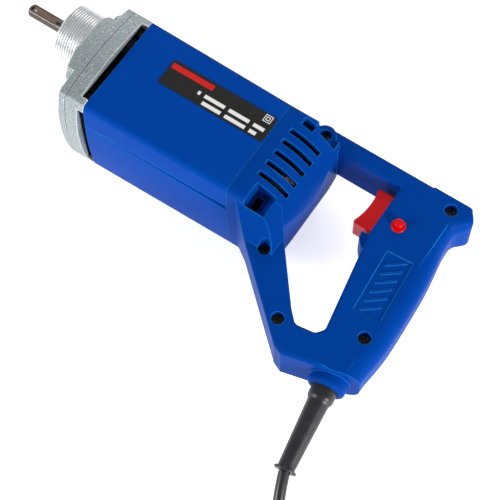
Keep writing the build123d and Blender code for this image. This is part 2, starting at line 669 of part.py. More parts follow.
def grip_section(back, rounding, front, inset):
    """A level cut through the grip: sides flat, front edges slightly rounded, back edges fully rounded."""
    half = GRIP_HALF - inset
    r = max(rounding - inset, 1.0)
    x0 = back + inset
    f = max(EDGE_ROUND - inset, 0.6)
    lines = Curve() + [
        Line((x0, -half + r), (x0, half - r)),
        RadiusArc((x0, half - r), (x0 + r, half), r),
        Line((x0 + r, half), (front - f, half)),
        RadiusArc((front - f, half), (front, half - f), f),
        Line((front, half - f), (front, -half + f)),
        RadiusArc((front, -half + f), (front - f, -half), f),
        Line((front - f, -half), (x0 + r, -half)),
        RadiusArc((x0 + r, -half), (x0, -half + r), r),
    ]
    return make_face(lines)


def grip_column(inset):
    """The grip with its rounded back, lofted through its stations; the horn guards the web of the thumb."""
    sections = []
    for y, back, rounding in GRIP_STATIONS:
        front = -255.0 if inset else -252.0
        sections.append(Plane.XZ.offset(-y) * grip_section(back, rounding, front, inset))
    return loft(Sketch() + sections)


FOOT_FRONT = Vector(-234.5, 113.3)
FOOT_BACK = Vector(-283.0, 101.0)


def below_foot(inset):
    """Everything past the slanting underside of the foot, moved in by an inset."""
    slope = FOOT_FRONT - FOOT_BACK
    turn = degrees(atan2(slope.Y, slope.X))
    return plate(Pos(FOOT_BACK.X, FOOT_BACK.Y) * Rot(0, 0, turn) * Pos(0, 40 - inset) * Rectangle(300, 80), 40)


def gusset(inset):
    """The slanted web that carries the rear cover's lower edge down to the front arm."""
    edge = MOTOR_Y + BARREL_HALF_REAR
    wide = BARREL_HALF_WIDTH - 2.4 - inset
    narrow = GRIP_HALF - 2 - inset
    low = edge + 14 - inset
    section = Polyline(
        (edge - 12, wide), (edge - 2, wide), (low, narrow), (low, -narrow), (edge - 2, -wide), (edge - 12, -wide),
        close=True,
    )
    body = slab(make_face(section), PART_X - 45, PART_X)
    outline = Polyline(
        (PART_X, 30), (PART_X, 47.6 - inset), (-192.0, 78.4 - inset), (-206.0 + inset, 62.0), (-193.0 + inset, 46.5),
        (-180.0, 30.0), close=True,
    )
    body &= plate(make_face(outline), 40)
    start = PART_X - DOME_START
    side = Pos(start, 0) * Circle(BARREL_HALF_WIDTH - inset) + Pos(start + 30, 0) * Rectangle(60, 80)
    return body & extrude(Plane.XZ.offset(-MOTOR_Y) * side, 90, both=True)


def handle_body():
    """The outside of the whole clamshell as one solid."""
    frame = plate(handle_outline() - hand_hole(), GRIP_HALF)
    rim = frame.faces().filter_by(Axis.Z).edges()
    seam = [e for e in rim if e.center().X < -271.5 or e.center().X > PART_X - 0.5]
    frame = fillet([e for e in rim if e not in seam], EDGE_ROUND)
    column = grip_column(0) - below_foot(0)
    body = frame + column + dome_block(0) + (gusset(0) - plate(hand_hole(), 40))
    pad_x, pad_y, pad_z = SCREWS["arm_root"]
    body += Pos(pad_x, pad_y, 0) * Cylinder(HANDLE_BOSS_RADIUS + 1, 2 * pad_z)
    lip = [(-240, 19.2), (-230.5, 20.2), (-231.5, 24.5), (-235.0, 28.6), (-240.0, 31.5)]
    lip = make_face(Polyline(*lip, close=True))
    return body + plate(lip, TRIGGER_HALF + 1) + collar()


def exit_plane():
    """The plane across the cord's way out, on the foot's underside."""
    return Plane(origin=(COLLAR["x"], COLLAR["y"], 0), z_dir=EXIT)


def along_exit(radius, start, end):
    """A cylinder round the cord's way out."""
    return extrude(exit_plane().offset(start) * Circle(radius), end - start)


def collar():
    """The round collar moulded about the boot."""
    body = along_exit(COLLAR["outer"], -8, COLLAR["height"])
    outer = max(body.edges().filter_by(GeomType.CIRCLE), key=lambda e: e.center().Y)
    return fillet(outer, 2.4)


def handle_space():
    """The hollow inside the clamshell."""
    frame = offset(handle_outline() - hand_hole(), -HANDLE_WALL)
    space = plate(frame, GRIP_HALF - HANDLE_WALL)
    column = grip_column(HANDLE_WALL) - below_foot(HANDLE_WALL)
    column &= block(-300, -200, ARM_TOP + HANDLE_WALL, 120, -40, 40)
    front_wall = plate(offset(hand_hole(), HANDLE_WALL), 40)
    return space + (column - front_wall) + dome_block(COVER_WALL_THICKNESS) + gusset(HANDLE_WALL)


def vent_slots(side):
    """The five cooling slots of one side."""
    slots = []
    z0, z1 = sorted((side * 18.0, side * 40.0))
    x1 = PART_X - SLOT_START
    for k in range(SLOT_COUNT):
        y = MOTOR_Y + SLOT_FIRST + SLOT_PITCH * k
        slots.append(block(x1 - SLOT_LENGTH, x1, y - SLOT_WIDTH / 2, y + SLOT_WIDTH / 2, z0, z1))
    return slots


POCKET = dict(x0=-188.5, x1=-169.2, y0=39.0, y1=53.5, floor=23.0, wall=2.2)


def pocket(side, inset):
    """The scoop at the cover's lower edge: deep in front, running out to the surface behind."""
    low = POCKET["floor"] - inset
    profile = Polyline(
        (POCKET["x1"] + inset, 45), (POCKET["x1"] + inset, low), (POCKET["x1"] - 7, low),
        (POCKET["x0"] - inset, 36 - inset), (POCKET["x0"] - inset, 45), close=True,
    )
    y0 = POCKET["y0"] - inset
    y1 = POCKET["y1"] + inset
    body = extrude(Plane.XZ.offset(-y1) * make_face(profile), y1 - y0)
    return body if side > 0 else mirror(body, about=Plane.XY)


def root_notch(side, inset):
    """The corner cut out of the cover where the upper arm's screw sits."""
    z0, z1 = sorted((side * (SCREWS["arm_root"][2] - inset), side * 45.0))
    return block(-190.5, -176.6 + inset, -30.0, -10.6 + inset, z0, z1)


def clamshell():
    """The whole clamshell, hollowed, with bosses, vents and openings, before it is parted."""
    fixings = [Pos(x, y, 0) * Cylinder(HANDLE_BOSS_RADIUS, 2 * face) for x, y, face in SCREWS.values()]
    fixings += [Pos(x, CLAMP_Y, CLAMP_BED - 6.0) * Cylinder(3.2, 12.0) for x in CLAMP_SCREW_X]
    fixings.append(along_exit(BOOT_FLANGE_RADIUS + 2.6, FLANGE_AT - 3.0, FLANGE_AT + 6.0))
    for side in (-1, 1):
        fixings += [pocket(side, POCKET["wall"]), root_notch(side, POCKET["wall"])]
    body = handle_body() - (handle_space() - fixings)
    for side in (-1, 1):
        body -= vent_slots(side)
        body -= [pocket(side, 0), root_notch(side, 0)]
        z0, z1 = sorted((side * 19.0, side * 24.0))
        body -= block(POCKET["x1"] - 6.5, POCKET["x1"] - 1.5, POCKET["y0"] + 2, POCKET["y1"] - 3, z0, z1)
        z0, z1 = sorted((side * 22.0, side * 40.0))
        body -= block(-176.8, -169.0, -13.2, -8.0, z0, z1)
    side_gap = TRIGGER_HALF + 0.4
    body -= block(SWITCH_FRONT + 0.3, -230, TRIGGER_TOP - 0.5, TRIGGER_BOTTOM + 0.5, -side_gap, side_gap)
    body -= along_exit(COLLAR["inner"], FLANGE_AT - 4, COLLAR["height"] + 1)
    groove = BOOT_FLANGE_WIDTH + 2 * PART_GAP
    return body - along_exit(BOOT_FLANGE_RADIUS + PART_GAP, FLANGE_AT - PART_GAP, FLANGE_AT - PART_GAP + groove)


def shells():
    """The left and right halves."""
    body = clamshell()
    left = body & block(-320, PART_X, -60, 140, 0, 60)
    right = body & block(-320, PART_X, -60, 140, -60, 0)
    for x, y, face in SCREWS.values():
        floor = face - HANDLE_RECESS_DEPTH
        left -= Pos(x, y, floor) * Cylinder(HANDLE_RECESS_RADIUS, 30, align=ON_BASE)
        left -= Pos(x, y, 0) * Cylinder(HANDLE_SCREW_RADIUS + LOOSE, 60)
        tip = floor - HANDLE_SCREW_LENGTH
        right -= Pos(x, y, tip - 0.5) * Cylinder(HANDLE_SCREW_RADIUS + RUNNING, 60, align=ON_BASE)
    for x in CLAMP_SCREW_X:
        right -= Pos(x, CLAMP_Y, -9.0) * Cylinder(CLAMP_SCREW_RADIUS, 30, align=ON_BASE)
    left -= Pos(BUTTON_X, BUTTON_Y, 0) * Cylinder(COLLAR_RADIUS, 60)
    badge_at = Pos(-261.3, 45.9, GRIP_HALF) * Rot(0, 0, BADGE["tilt"])
    recess = badge_at * Box(BADGE["width"], BADGE["height"], 2 * BADGE["depth"])
    ribs = []
    for k in range(BADGE["ribs"]):
        y = (k - (BADGE["ribs"] - 1) / 2) * BADGE["height"] / (BADGE["ribs"] + 0.6)
        ribs.append(badge_at * Pos(0, y, -BADGE["depth"]) * Rot(0, 0, 35) * Box(12.5, 1.3, 0.7))
    left -= recess - ribs
    return left, right


ON_BASE = (Align.CENTER, Align.CENTER, Align.MIN)
CLAMP_Y = 91.0
CLAMP_BED = -2.0
CLAMP_SCREW_RADIUS = 1.5
CLAMP_SCREW_X = (-269.9, -254.3)
BUTTON_X = -248.3
BUTTON_Y = 8.3
BADGE = dict(width=17.0, height=42.0, depth=0.5, ribs=6, tilt=4.0)
BOOT_FLANGE_RADIUS = 9.6
BOOT_FLANGE_WIDTH = 3.0
FLANGE_AT = -8.4


def handle_screws():
    """Five pan-headed screws that pull the halves together."""
    screws = []
    for x, y, face in SCREWS.values():
        floor = face - HANDLE_RECESS_DEPTH
        head = Pos(x, y, floor) * Cylinder(HANDLE_SCREW_HEAD_RADIUS, 2.4, align=ON_BASE)
        head -= Pos(x, y, floor + 2.9) * (Box(4.4, 1.1, 3) + Box(1.1, 4.4, 3))
        tip = floor - HANDLE_SCREW_LENGTH
        screws.append(head + Pos(x, y, tip) * Cylinder(HANDLE_SCREW_RADIUS, HANDLE_SCREW_LENGTH, align=ON_BASE))
    return groups(screws)


# ---------------------------------------------------------------- trigger, switch, button
STEM_Y = -1.0
STEM_HALF = 4.0
STEM_BACK = -253.0
SWITCH_DEEP = -264.5


def trigger():
    """The trigger: a hollow-faced paddle with a stem that works the switch."""
    front = [(-223.9, TRIGGER_TOP), (-225.3, 3.0), (-222.0, TRIGGER_BOTTOM)]
    sides = Polyline(front[2], (TRIGGER_BACK, TRIGGER_BOTTOM), (TRIGGER_BACK, TRIGGER_TOP), front[0])
    face = make_face(Curve() + [ThreePointArc(*front), sides])
    face = fillet([v for v in face.vertices() if v.X > TRIGGER_BACK + 1], 1.4)
    body = plate(face, TRIGGER_HALF)
    rims = [e for e in body.faces().filter_by(Axis.Z).edges() if e.center().X > TRIGGER_BACK + 0.5]
    body = fillet(rims, 0.9)
    stem = block(STEM_BACK, TRIGGER_BACK, STEM_Y - STEM_HALF, STEM_Y + STEM_HALF, -STEM_HALF, STEM_HALF)
    return body + stem


def switch_body():
    """The switch: a closed box with a bore for the trigger's stem and one for the lock button."""
    body = block(SWITCH_BACK, SWITCH_FRONT, -9.0, 24.0, -SWITCH_HALF, SWITCH_HALF)
    bore = STEM_HALF + 0.3
    body -= block(SWITCH_DEEP, SWITCH_FRONT + 1, STEM_Y - bore, STEM_Y + bore, -bore, bore)
    body -= Pos(BUTTON_X, BUTTON_Y, -2.0) * Cylinder(3.2, 20, align=ON_BASE)
    return body


def trigger_spring():
    """The return spring behind the stem, as a sleeve of its outer shape."""
    return ring(2.9, 2.1, SWITCH_DEEP, STEM_BACK, STEM_Y)


def lock_button():
    """The lock-on button: a domed cap, a catch flange under the collar and a stem."""
    top = GRIP_HALF + BUTTON_STAND_OUT
    cap = Pos(0, 0, 10.5) * Cylinder(BUTTON_RADIUS, top - 10.5, align=ON_BASE)
    cap = fillet(cap.edges().group_by(Axis.Z)[-1], 1.2)
    cap += Pos(0, 0, 11.2) * Cylinder(3.9, 1.6, align=ON_BASE)
    cap += Pos(0, 0, 6.0) * Cylinder(2.0, 6.0, align=ON_BASE)
    return Pos(BUTTON_X, BUTTON_Y, 0) * cap


def lock_collar():
    """The button's guide ring, pressed into the left shell."""
    body = Cylinder(COLLAR_RADIUS, 3.8, align=ON_BASE) - Cylinder(BUTTON_RADIUS + 0.06, 10)
    outer = max(body.edges().group_by(Axis.Z)[-1].filter_by(GeomType.CIRCLE), key=lambda e: e.radius)
    return Pos(BUTTON_X, BUTTON_Y, 13.0) * fillet(outer, 0.7)


def lock_spring():
    """The button's return spring, as a sleeve of its outer shape."""
    sleeve = Cylinder(1.9, 8.0, align=ON_BASE) - Cylinder(1.3, 20)
    return Pos(BUTTON_X, BUTTON_Y, -2.0) * sleeve


def capacitor():
    """The suppression capacitor, lying in the foot."""
    body = block(-249.0, -235.5, 98.2, 105.0, -5.0, 5.0)
    return fillet(body.edges().filter_by(Axis.Z), 1.2)


# ---------------------------------------------------------------- cord
BOOT_ROOT_LENGTH = 14.0
DROOP = Vector(-0.124, 0.982, -0.143).normalized()


def boot_plane():
    """The plane where the boot's straight root ends and its drooping taper begins."""
    return Plane(origin=exit_plane().origin + EXIT * BOOT_ROOT_LENGTH, z_dir=DROOP)


def cord_boot():
    """The strain-relief boot: flange held in the shells, straight root, drooping taper and an end bead."""
    root = BOOT_ROOT_RADIUS
    end = FLANGE_AT + BOOT_FLANGE_WIDTH
    straight = Polyline(
        (0, FLANGE_AT), (BOOT_FLANGE_RADIUS, FLANGE_AT), (BOOT_FLANGE_RADIUS, end), (root, end),
        (root, BOOT_ROOT_LENGTH - 1.6), (root - 1.2, BOOT_ROOT_LENGTH), (0, BOOT_ROOT_LENGTH), close=True,
    )
    tip = BOOT_TAPER_LENGTH - BOOT_BEAD_WIDTH
    taper = Polyline(
        (0, -3.0), (BOOT_WAIST_RADIUS, -3.0), (BOOT_WAIST_RADIUS, 3.0),
        (BOOT_TIP_RADIUS, tip), (BOOT_BEAD_RADIUS, tip),
        (BOOT_BEAD_RADIUS, BOOT_TAPER_LENGTH), (0, BOOT_TAPER_LENGTH), close=True,
    )
    body = exit_plane().location * revolve(Plane.XZ * make_face(straight), Axis.Z)
    return body + boot_plane().location * revolve(Plane.XZ * make_face(taper), Axis.Z)


def inner_lead():
    """The sheathed end of the cord inside the foot, and two cores up to the switch."""
    length = 12.0
    end = exit_plane().origin + EXIT * (FLANGE_AT - length)
    sheath = extrude(Plane(origin=end, z_dir=EXIT) * Circle(CORD_DIAMETER / 2), length)
    cores = []
    for dx in (-1.7, 1.7):
        path = Polyline((end.X + dx, end.Y + 1, 0), (-257.0 + dx, end.Y - 9, 0), (-257.0 + dx, 24.0, 0))
        section = Plane(origin=path @ 0, z_dir=path % 0) * Circle(1.3)
        cores.append(sweep(section, path, transition=Transition.ROUND))
    return sheath + cores


def cord_clamp():
    """The bar that holds the sheath down on two bosses."""
    bar = block(CLAMP_SCREW_X[0] - 3.2, CLAMP_SCREW_X[1] + 3.2, CLAMP_Y - 3.2, CLAMP_Y + 3.2, CLAMP_BED, 6.0)
    bar -= along_exit(CORD_DIAMETER / 2, -40, 0)
    middle = sum(CLAMP_SCREW_X) / 2
    bar -= block(middle - 4.1, middle + 4.1, CLAMP_Y - 5, CLAMP_Y + 5, CLAMP_BED - 1, 0.0)
    for x in CLAMP_SCREW_X:
        bar -= Pos(x, CLAMP_Y, 0) * Cylinder(CLAMP_SCREW_RADIUS + LOOSE, 30)
    return bar


def clamp_screws():
    """Two screws through the clamp bar."""
    screws = []
    for x in CLAMP_SCREW_X:
        shank = Pos(x, CLAMP_Y, -8.5) * Cylinder(CLAMP_SCREW_RADIUS, 14.5, align=ON_BASE)
        screws.append(shank + Pos(x, CLAMP_Y, 6.0) * Cylinder(2.8, 2.0, align=ON_BASE))
    return groups(screws)


CORD_Z = FLOOR_Z + CORD_DIAMETER / 2
COIL_X = -262.0
COIL_Y = 270.0
OUTER_TURN = COIL_MEAN_RADIUS + 1.5 * CORD_DIAMETER
PLUG_Z = FLOOR_Z + 5.0


def cord_path(points):
    """Straight runs joined by arcs, each as large as its two runs allow."""
    radii = []
    for a, b, c in zip(points, points[1:], points[2:]):
        before = Vector(*b) - Vector(*a)
        after = Vector(*c) - Vector(*b)
        half_turn = before.get_angle(after) / 2 * pi / 180
        radii.append(0.45 * min(before.length, after.length) / tan(half_turn))
    print("cord radii", [round(r) for r in radii])
    return FilletPolyline(*points, radius=radii)


def tube(points):
    """A round cord along a route; its volume is compared with section times length."""
    path = cord_path(points)
    body = sweep(Plane(origin=path @ 0, z_dir=path % 0) * Circle(CORD_DIAMETER / 2), path)
    expected = path.length * pi * CORD_DIAMETER**2 / 4
    print("cord length", round(path.length, 1))
    print("volume against section times length", round(body.volume / expected, 4))
    return body


def cord_route():
    """Out of the boot, down to the floor and into the coil's outer turn."""
    start = boot_plane().origin + DROOP * BOOT_TAPER_LENGTH
    join = 1.335
    end_x = COIL_X - OUTER_TURN * sin(join)
    end_y = COIL_Y - OUTER_TURN * cos(join)
    lead = 20.0
    return [
        (start.X, start.Y, start.Z), (-276.1, 177.6, -10.2), (-283.3, 188.8, -19.5), (-291.0, 203.5, -30.0),
        (-298.6, 220.5, CORD_Z), (end_x + lead * cos(join), end_y - lead * sin(join), CORD_Z),
        (end_x, end_y, CORD_Z),
    ]


def tail_route():
    """From the coil's outer turn to the plug beside it."""
    y = COIL_Y + OUTER_TURN
    return [
        (COIL_X + 2.0, y, CORD_Z), (COIL_X + 21.0, y - 1.0, CORD_Z), (COIL_X + 40.0, y - 5.0, PLUG_Z),
        (COIL_X + 59.0, y - 11.0, PLUG_Z),
    ]


def cord_coil():
    """The put-away length: four turns with three more on top, as one ring of that outer shape."""
    r = CORD_DIAMETER / 2
    inner = COIL_MEAN_RADIUS - 4 * r
    outer = COIL_MEAN_RADIUS + 4 * r
    lift = CORD_DIAMETER * sqrt(3) / 2
    profile = Polyline(
        (inner, 0), (outer, 0), (outer, 2 * r), (outer - r, 2 * r + lift), (inner + r, 2 * r + lift), (inner, 2 * r),
        close=True,
    )
    return Pos(COIL_X, COIL_Y, FLOOR_Z) * revolve(Plane.XZ * make_face(profile), Axis.Z)


def coil_tie():
    """A strap over the coil's turns on the far side, its legs standing beside them."""
    r = CORD_DIAMETER / 2
    high = FLOOR_Z + 2 * r + CORD_DIAMETER * sqrt(3) / 2
    x0 = COIL_X + COIL_MEAN_RADIUS - 4 * r - 0.6
    x1 = COIL_X + COIL_MEAN_RADIUS + 4 * r
    strap = block(x0 - 1.2, x1 + 1.2, COIL_Y - 5, COIL_Y + 5, FLOOR_Z, high + 1.2)
    return strap - block(x0, x1, COIL_Y - 6, COIL_Y + 6, FLOOR_Z - 1, high)


def plug_plane():
    """The plane across the plug where its cord enters."""
    end = Vector(*tail_route()[-1])
    heading = end - Vector(*tail_route()[-2])
    return Plane(origin=end, x_dir=(-heading.Y, heading.X, 0), z_dir=(heading.X, heading.Y, 0))


def plug_body():
    """A flat two-pin moulded plug with its tapered neck."""
    at = plug_plane()
    neck = loft(Sketch() + [at * Circle(4.6), at.offset(16) * Circle(4.9)])
    head = extrude(at.offset(16) * RectangleRounded(24.0, 10.0, 3.0), 24)
    return neck + head


def plug_pins():
    """Two round pins with bare domed ends."""
    at = plug_plane().offset(40)
    pins = []
    for side in (-1, 1):
        pin = extrude(at * Pos(side * 9.3, 0) * Circle(2.0), 19)
        tip = max(pin.edges().filter_by(GeomType.CIRCLE), key=lambda e: (e.center() - at.origin).length)
        pins.append(fillet(tip, 1.4))
    return groups(pins)


# ---------------------------------------------------------------- write the pieces
save("threaded_nose", threaded_nose())
save("oil_seal", ring(SEAL["outer"], SPINDLE_RADIUS + RUNNING, seal_back_x, -NOSE_MOUTH_DEPTH - 1.2))
save(
    "spindle_front_bearing",
    ball_bearing(bearing_back_x, FRONT_BEARING["width"], FRONT_BEARING["outer"], SPINDLE_RADIUS, 0),
)
save(
    "spindle_rear_bearing",
    ring(NEEDLE["outer"], SPINDLE_JOURNAL_RADIUS, needle_x, needle_x + NEEDLE["width"]),
)
save("spindle", spindle())
save("spindle_gear", spindle_gear())
save("gear_key", gear_key())
save("spindle_circlip", spindle_circlip())
save("front_cover", front_cover())
save("gear_bracket", gear_bracket())
save("flange_screws", groups([flange_screw(y, z) for y, z in corner_points(SCREW_OFFSET)]))
save("armature_shaft", armature_shaft())
save("armature_core", armature_core())
save("armature_windings", armature_windings())
save("commutator", commutator())
save("cooling_fan", fan())
save(
    "armature_front_bearing",
    ball_bearing(motor_bearing_x, MOTOR_BEARING["width"], MOTOR_BEARING["outer"], MOTOR_BEARING["bore"], MOTOR_Y),
)
save(
    "armature_rear_bearing",
    ball_bearing(rear_bearing_x + 0.8, REAR_BEARING["width"] - 0.8, REAR_BEARING["outer"], REAR_BEARING["bore"], MOTOR_Y),
)
save("stator_core", stator_core())
save("field_coils", field_coils())
save("stator_screws", stator_screws())
save("air_baffle", air_baffle())
save("end_bracket", end_bracket())
save("brush_holders", brush_holders())
save("carbon_brushes", brushes())
save("brush_springs", brush_springs())
save("motor_housing", motor_housing())
save("nameplate_label", nameplate_label())
left_shell, right_shell = shells()
save("handle_left", left_shell)
save("handle_right", right_shell)
save("handle_screws", handle_screws())
save("trigger", trigger())
save("trigger_spring", trigger_spring())
save("switch_body", switch_body())
save("lock_button", lock_button())
save("lock_collar", lock_collar())
save("lock_spring", lock_spring())
save("suppression_capacitor", capacitor())
save("inner_lead", inner_lead())
save("cord_clamp", cord_clamp())
save("clamp_screws", clamp_screws())
save("cord_boot", cord_boot())
save("cord", tube(cord_route()))
save("cord_coil", cord_coil())
save("cord_tail", tube(tail_route()))
save("coil_tie", coil_tie())
save("plug_body", plug_body())
save("plug_pins", plug_pins())
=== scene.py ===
from math import cos, pi, radians, sin

import bpy
import numpy as np
from mathutils import Matrix, Vector


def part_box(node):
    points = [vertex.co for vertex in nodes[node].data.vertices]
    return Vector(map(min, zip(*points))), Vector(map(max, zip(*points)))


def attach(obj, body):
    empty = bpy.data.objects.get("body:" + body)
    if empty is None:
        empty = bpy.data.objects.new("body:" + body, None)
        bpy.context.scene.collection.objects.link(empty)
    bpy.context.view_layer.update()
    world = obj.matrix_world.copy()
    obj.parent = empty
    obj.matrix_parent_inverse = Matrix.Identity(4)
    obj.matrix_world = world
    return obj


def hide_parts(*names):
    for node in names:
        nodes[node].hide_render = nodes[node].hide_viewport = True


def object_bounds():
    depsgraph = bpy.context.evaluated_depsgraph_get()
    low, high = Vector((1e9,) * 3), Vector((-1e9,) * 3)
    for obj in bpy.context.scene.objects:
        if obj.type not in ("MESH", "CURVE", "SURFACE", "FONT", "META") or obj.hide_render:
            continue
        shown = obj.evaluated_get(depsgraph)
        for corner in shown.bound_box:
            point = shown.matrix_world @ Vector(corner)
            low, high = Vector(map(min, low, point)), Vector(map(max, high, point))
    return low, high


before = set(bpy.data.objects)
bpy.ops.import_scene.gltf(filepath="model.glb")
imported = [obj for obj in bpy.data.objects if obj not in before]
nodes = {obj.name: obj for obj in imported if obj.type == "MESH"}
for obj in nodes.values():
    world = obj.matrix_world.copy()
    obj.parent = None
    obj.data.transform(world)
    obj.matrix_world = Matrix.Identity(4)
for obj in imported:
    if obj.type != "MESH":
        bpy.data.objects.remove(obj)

cad_box = [list(corner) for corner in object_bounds()]

# ---------------------------------------------------------------- camera, floor and light
# The tool lies on its right side on a pale table and is seen from above the end of its grip. Three
# square lamps light it: a key beyond the nose, a low one behind the grip and a fill past the motor.
towards = Vector((-0.2445, 0.3419, 0.9074)).normalized()
level = Vector((0, 0, 1)).cross(towards).normalized()
upright = towards.cross(level)
roll = radians(-1.7)
right = level * cos(roll) + upright * sin(roll)
up = upright * cos(roll) - level * sin(roll)
camera_data = bpy.data.cameras.new("camera")
camera_data.lens = 107.7
camera_data.sensor_width = 36.0
camera = bpy.data.objects.new("camera", camera_data)
bpy.context.collection.objects.link(camera)
camera_matrix = Matrix((right, up, towards)).transposed().to_4x4()
camera_matrix.translation = (-0.3979, 0.3680, 0.8081)
camera.matrix_world = camera_matrix
bpy.context.scene.camera = camera
bpy.context.scene.view_settings.view_transform = "Standard"

table_height = cad_box[0][2] - 0.0001
floor_mesh = bpy.data.meshes.new("floor")
table_half = 6.0
table_signs = ((-1, -1), (1, -1), (1, 1), (-1, 1))
table_corners = [(table_half * x, table_half * y, table_height) for x, y in table_signs]
floor_mesh.from_pydata(table_corners, [], [(0, 1, 2, 3)])
floor = bpy.data.objects.new("floor", floor_mesh)
bpy.context.collection.objects.link(floor)
floor_finish = bpy.data.materials.new("pale_table")
floor_finish.use_nodes = True
floor_shader = next(n for n in floor_finish.node_tree.nodes if n.type == "BSDF_PRINCIPLED")
floor_shader.inputs["Base Color"].default_value = (0.97, 0.97, 0.975, 1)
floor_shader.inputs["Roughness"].default_value = 0.9
floor_shader.inputs["Specular IOR Level"].default_value = 0.1
floor_shader.inputs["Emission Color"].default_value = (1, 1, 1, 1)
floor_shader.inputs["Emission Strength"].default_value = 0.62
floor_mesh.materials.append(floor_finish)

world = bpy.data.worlds.new("studio")
world.use_nodes = True
world.node_tree.nodes["Background"].inputs["Color"].default_value = (0.98, 0.99, 1.0, 1)
world.node_tree.nodes["Background"].inputs["Strength"].default_value = 0.24
bpy.context.scene.world = world
tool_middle = Vector((-0.15, 0.05, 0))


def soft_box(name, place, power, size):
    """A square lamp that faces the middle of the tool."""
    lamp = bpy.data.lights.new(name, "AREA")
    lamp.energy = power
    lamp.size = size
    holder = bpy.data.objects.new(name, lamp)
    bpy.context.collection.objects.link(holder)
    holder.location = place
    holder.rotation_mode = "QUATERNION"
    holder.rotation_quaternion = (Vector(place) - tool_middle).to_track_quat("Z", "Y")


soft_box("nose_key", (0.95, 1.35, 0.75), 22, 0.7)
soft_box("grip_rim", (-1.6, 0.45, 0.50), 26, 0.5)
soft_box("motor_fill", (0.4, -1.3, 1.1), 12, 1.0)

# ---------------------------------------------------------------- power cord
# A round two-core lead, 7 mm over its smooth black PVC sheath. It droops out of the boot to the table,
# and its spare length is wound in a flat coil, four turns and about two on top, that ends at the plug.


class Shade:
    """A shader socket whose arithmetic adds Math nodes to its tree."""

    def __init__(self, tree, socket):
        self.tree, self.socket = tree, socket

    def join(self, operation, *values):
        made = self.tree.nodes.new("ShaderNodeMath")
        made.operation = operation
        for socket, value in zip(made.inputs, values):
            plug_in(self.tree, socket, value)
        return Shade(self.tree, made.outputs[0])

    def __add__(self, other):
        return self.join("ADD", self, other)

    def __sub__(self, other):
        return self.join("SUBTRACT", self, other)

    def __rsub__(self, other):
        return self.join("SUBTRACT", other, self)

    def __mul__(self, other):
        return self.join("MULTIPLY", self, other)

    __radd__ = __add__
    __rmul__ = __mul__

    def above(self, limit):
        return self.join("GREATER_THAN", self, limit)

    def below(self, limit):
        return self.join("LESS_THAN", self, limit)

    def between(self, low, high):
        return self.above(low) * self.below(high)

    def size(self):
        return self.join("ABSOLUTE", self)

    def wave(self):
        return self.join("SINE", self)

    def larger(self, other):
        return self.join("MAXIMUM", self, other)

    def smaller(self, other):
        return self.join("MINIMUM", self, other)


def plug_in(tree, socket, value):
    """Links a Shade to a socket, or sets the socket's constant."""
    if isinstance(value, Shade):
        tree.links.new(value.socket, socket)
    else:
        socket.default_value = value


class Finish:
    """A material: its Principled shader, and the nodes that vary it."""

    def __init__(self, name, color, roughness, metallic=0.0, **constants):
        self.material = bpy.data.materials.new(name)
        self.material.use_nodes = True
        self.material.diffuse_color = (*color, 1)
        self.tree = self.material.node_tree
        self.shader = next(n for n in self.tree.nodes if n.type == "BSDF_PRINCIPLED")
        self.feed("Base Color", (*color, 1))
        self.feed("Roughness", roughness)
        self.feed("Metallic", metallic)
        for socket, value in constants.items():
            self.feed(socket.replace("_", " "), value)

    def feed(self, socket, value):
        plug_in(self.tree, self.shader.inputs[socket], value)

    def node(self, kind, settings, inputs, output=0):
        made = self.tree.nodes.new(kind)
        for key, value in settings.items():
            setattr(made, key, value)
        for key, value in inputs.items():
            plug_in(self.tree, made.inputs[key], value)
        return Shade(self.tree, made.outputs[output])

    def place(self):
        return self.node("ShaderNodeTexCoord", {}, {}, "Object")

    def axes(self):
        split = self.tree.nodes.new("ShaderNodeSeparateXYZ")
        self.tree.links.new(self.place().socket, split.inputs[0])
        return [Shade(self.tree, socket) for socket in split.outputs]

    def noise(self, grain, detail=2.0, rough=0.5, stretch=(1, 1, 1)):
        """Cloudy values about a half; grain is the size of one cloud in metres."""
        at = self.node("ShaderNodeMapping", {}, {"Vector": self.place(), "Scale": stretch})
        inputs = {"Vector": at, "Scale": 1 / grain, "Detail": detail, "Roughness": rough}
        return self.node("ShaderNodeTexNoise", {}, inputs)

    def blend(self, share, first, second):
        return self.node("ShaderNodeMix", {"data_type": "RGBA"}, {0: share, 6: first, 7: second}, 2)

    def relief(self, height, depth, edge=0.0):
        """A bump of that many metres for a height from 0 to 1, over edges rounded by a radius."""
        inputs = {"Height": height, "Distance": depth}
        if edge:
            inputs["Normal"] = self.node("ShaderNodeBevel", {"samples": 6}, {"Radius": edge})
        self.feed("Normal", self.node("ShaderNodeBump", {}, inputs))

    def edges(self, radius, gain):
        """0 on open surface, up to 1 on an edge: how far a rounded normal leans from the true one."""
        round_normal = self.node("ShaderNodeBevel", {"samples": 6}, {"Radius": radius})
        true_normal = self.node("ShaderNodeNewGeometry", {}, {}, "Normal")
        normals = {0: round_normal, 1: true_normal}
        match = self.node("ShaderNodeVectorMath", {"operation": "DOT_PRODUCT"}, normals, "Value")
        return ((1 - match) * gain).smaller(1.0)


def rubbery(name, color, roughness, grain, depth):
    """A black soft plastic: faint clouds in tone and gloss, and a fine even grain."""
    finish = Finish(name, color, roughness, Specular_IOR_Level=0.45)
    clouds = finish.noise(0.006, 3)
    pale = tuple(1.9 * c + 0.004 for c in color)
    finish.feed("Base Color", finish.blend(clouds, (*color, 1), (*pale, 1)))
    finish.feed("Roughness", clouds * 0.16 + (roughness - 0.08))
    finish.relief(finish.noise(grain, 2), depth)
    return finish.material


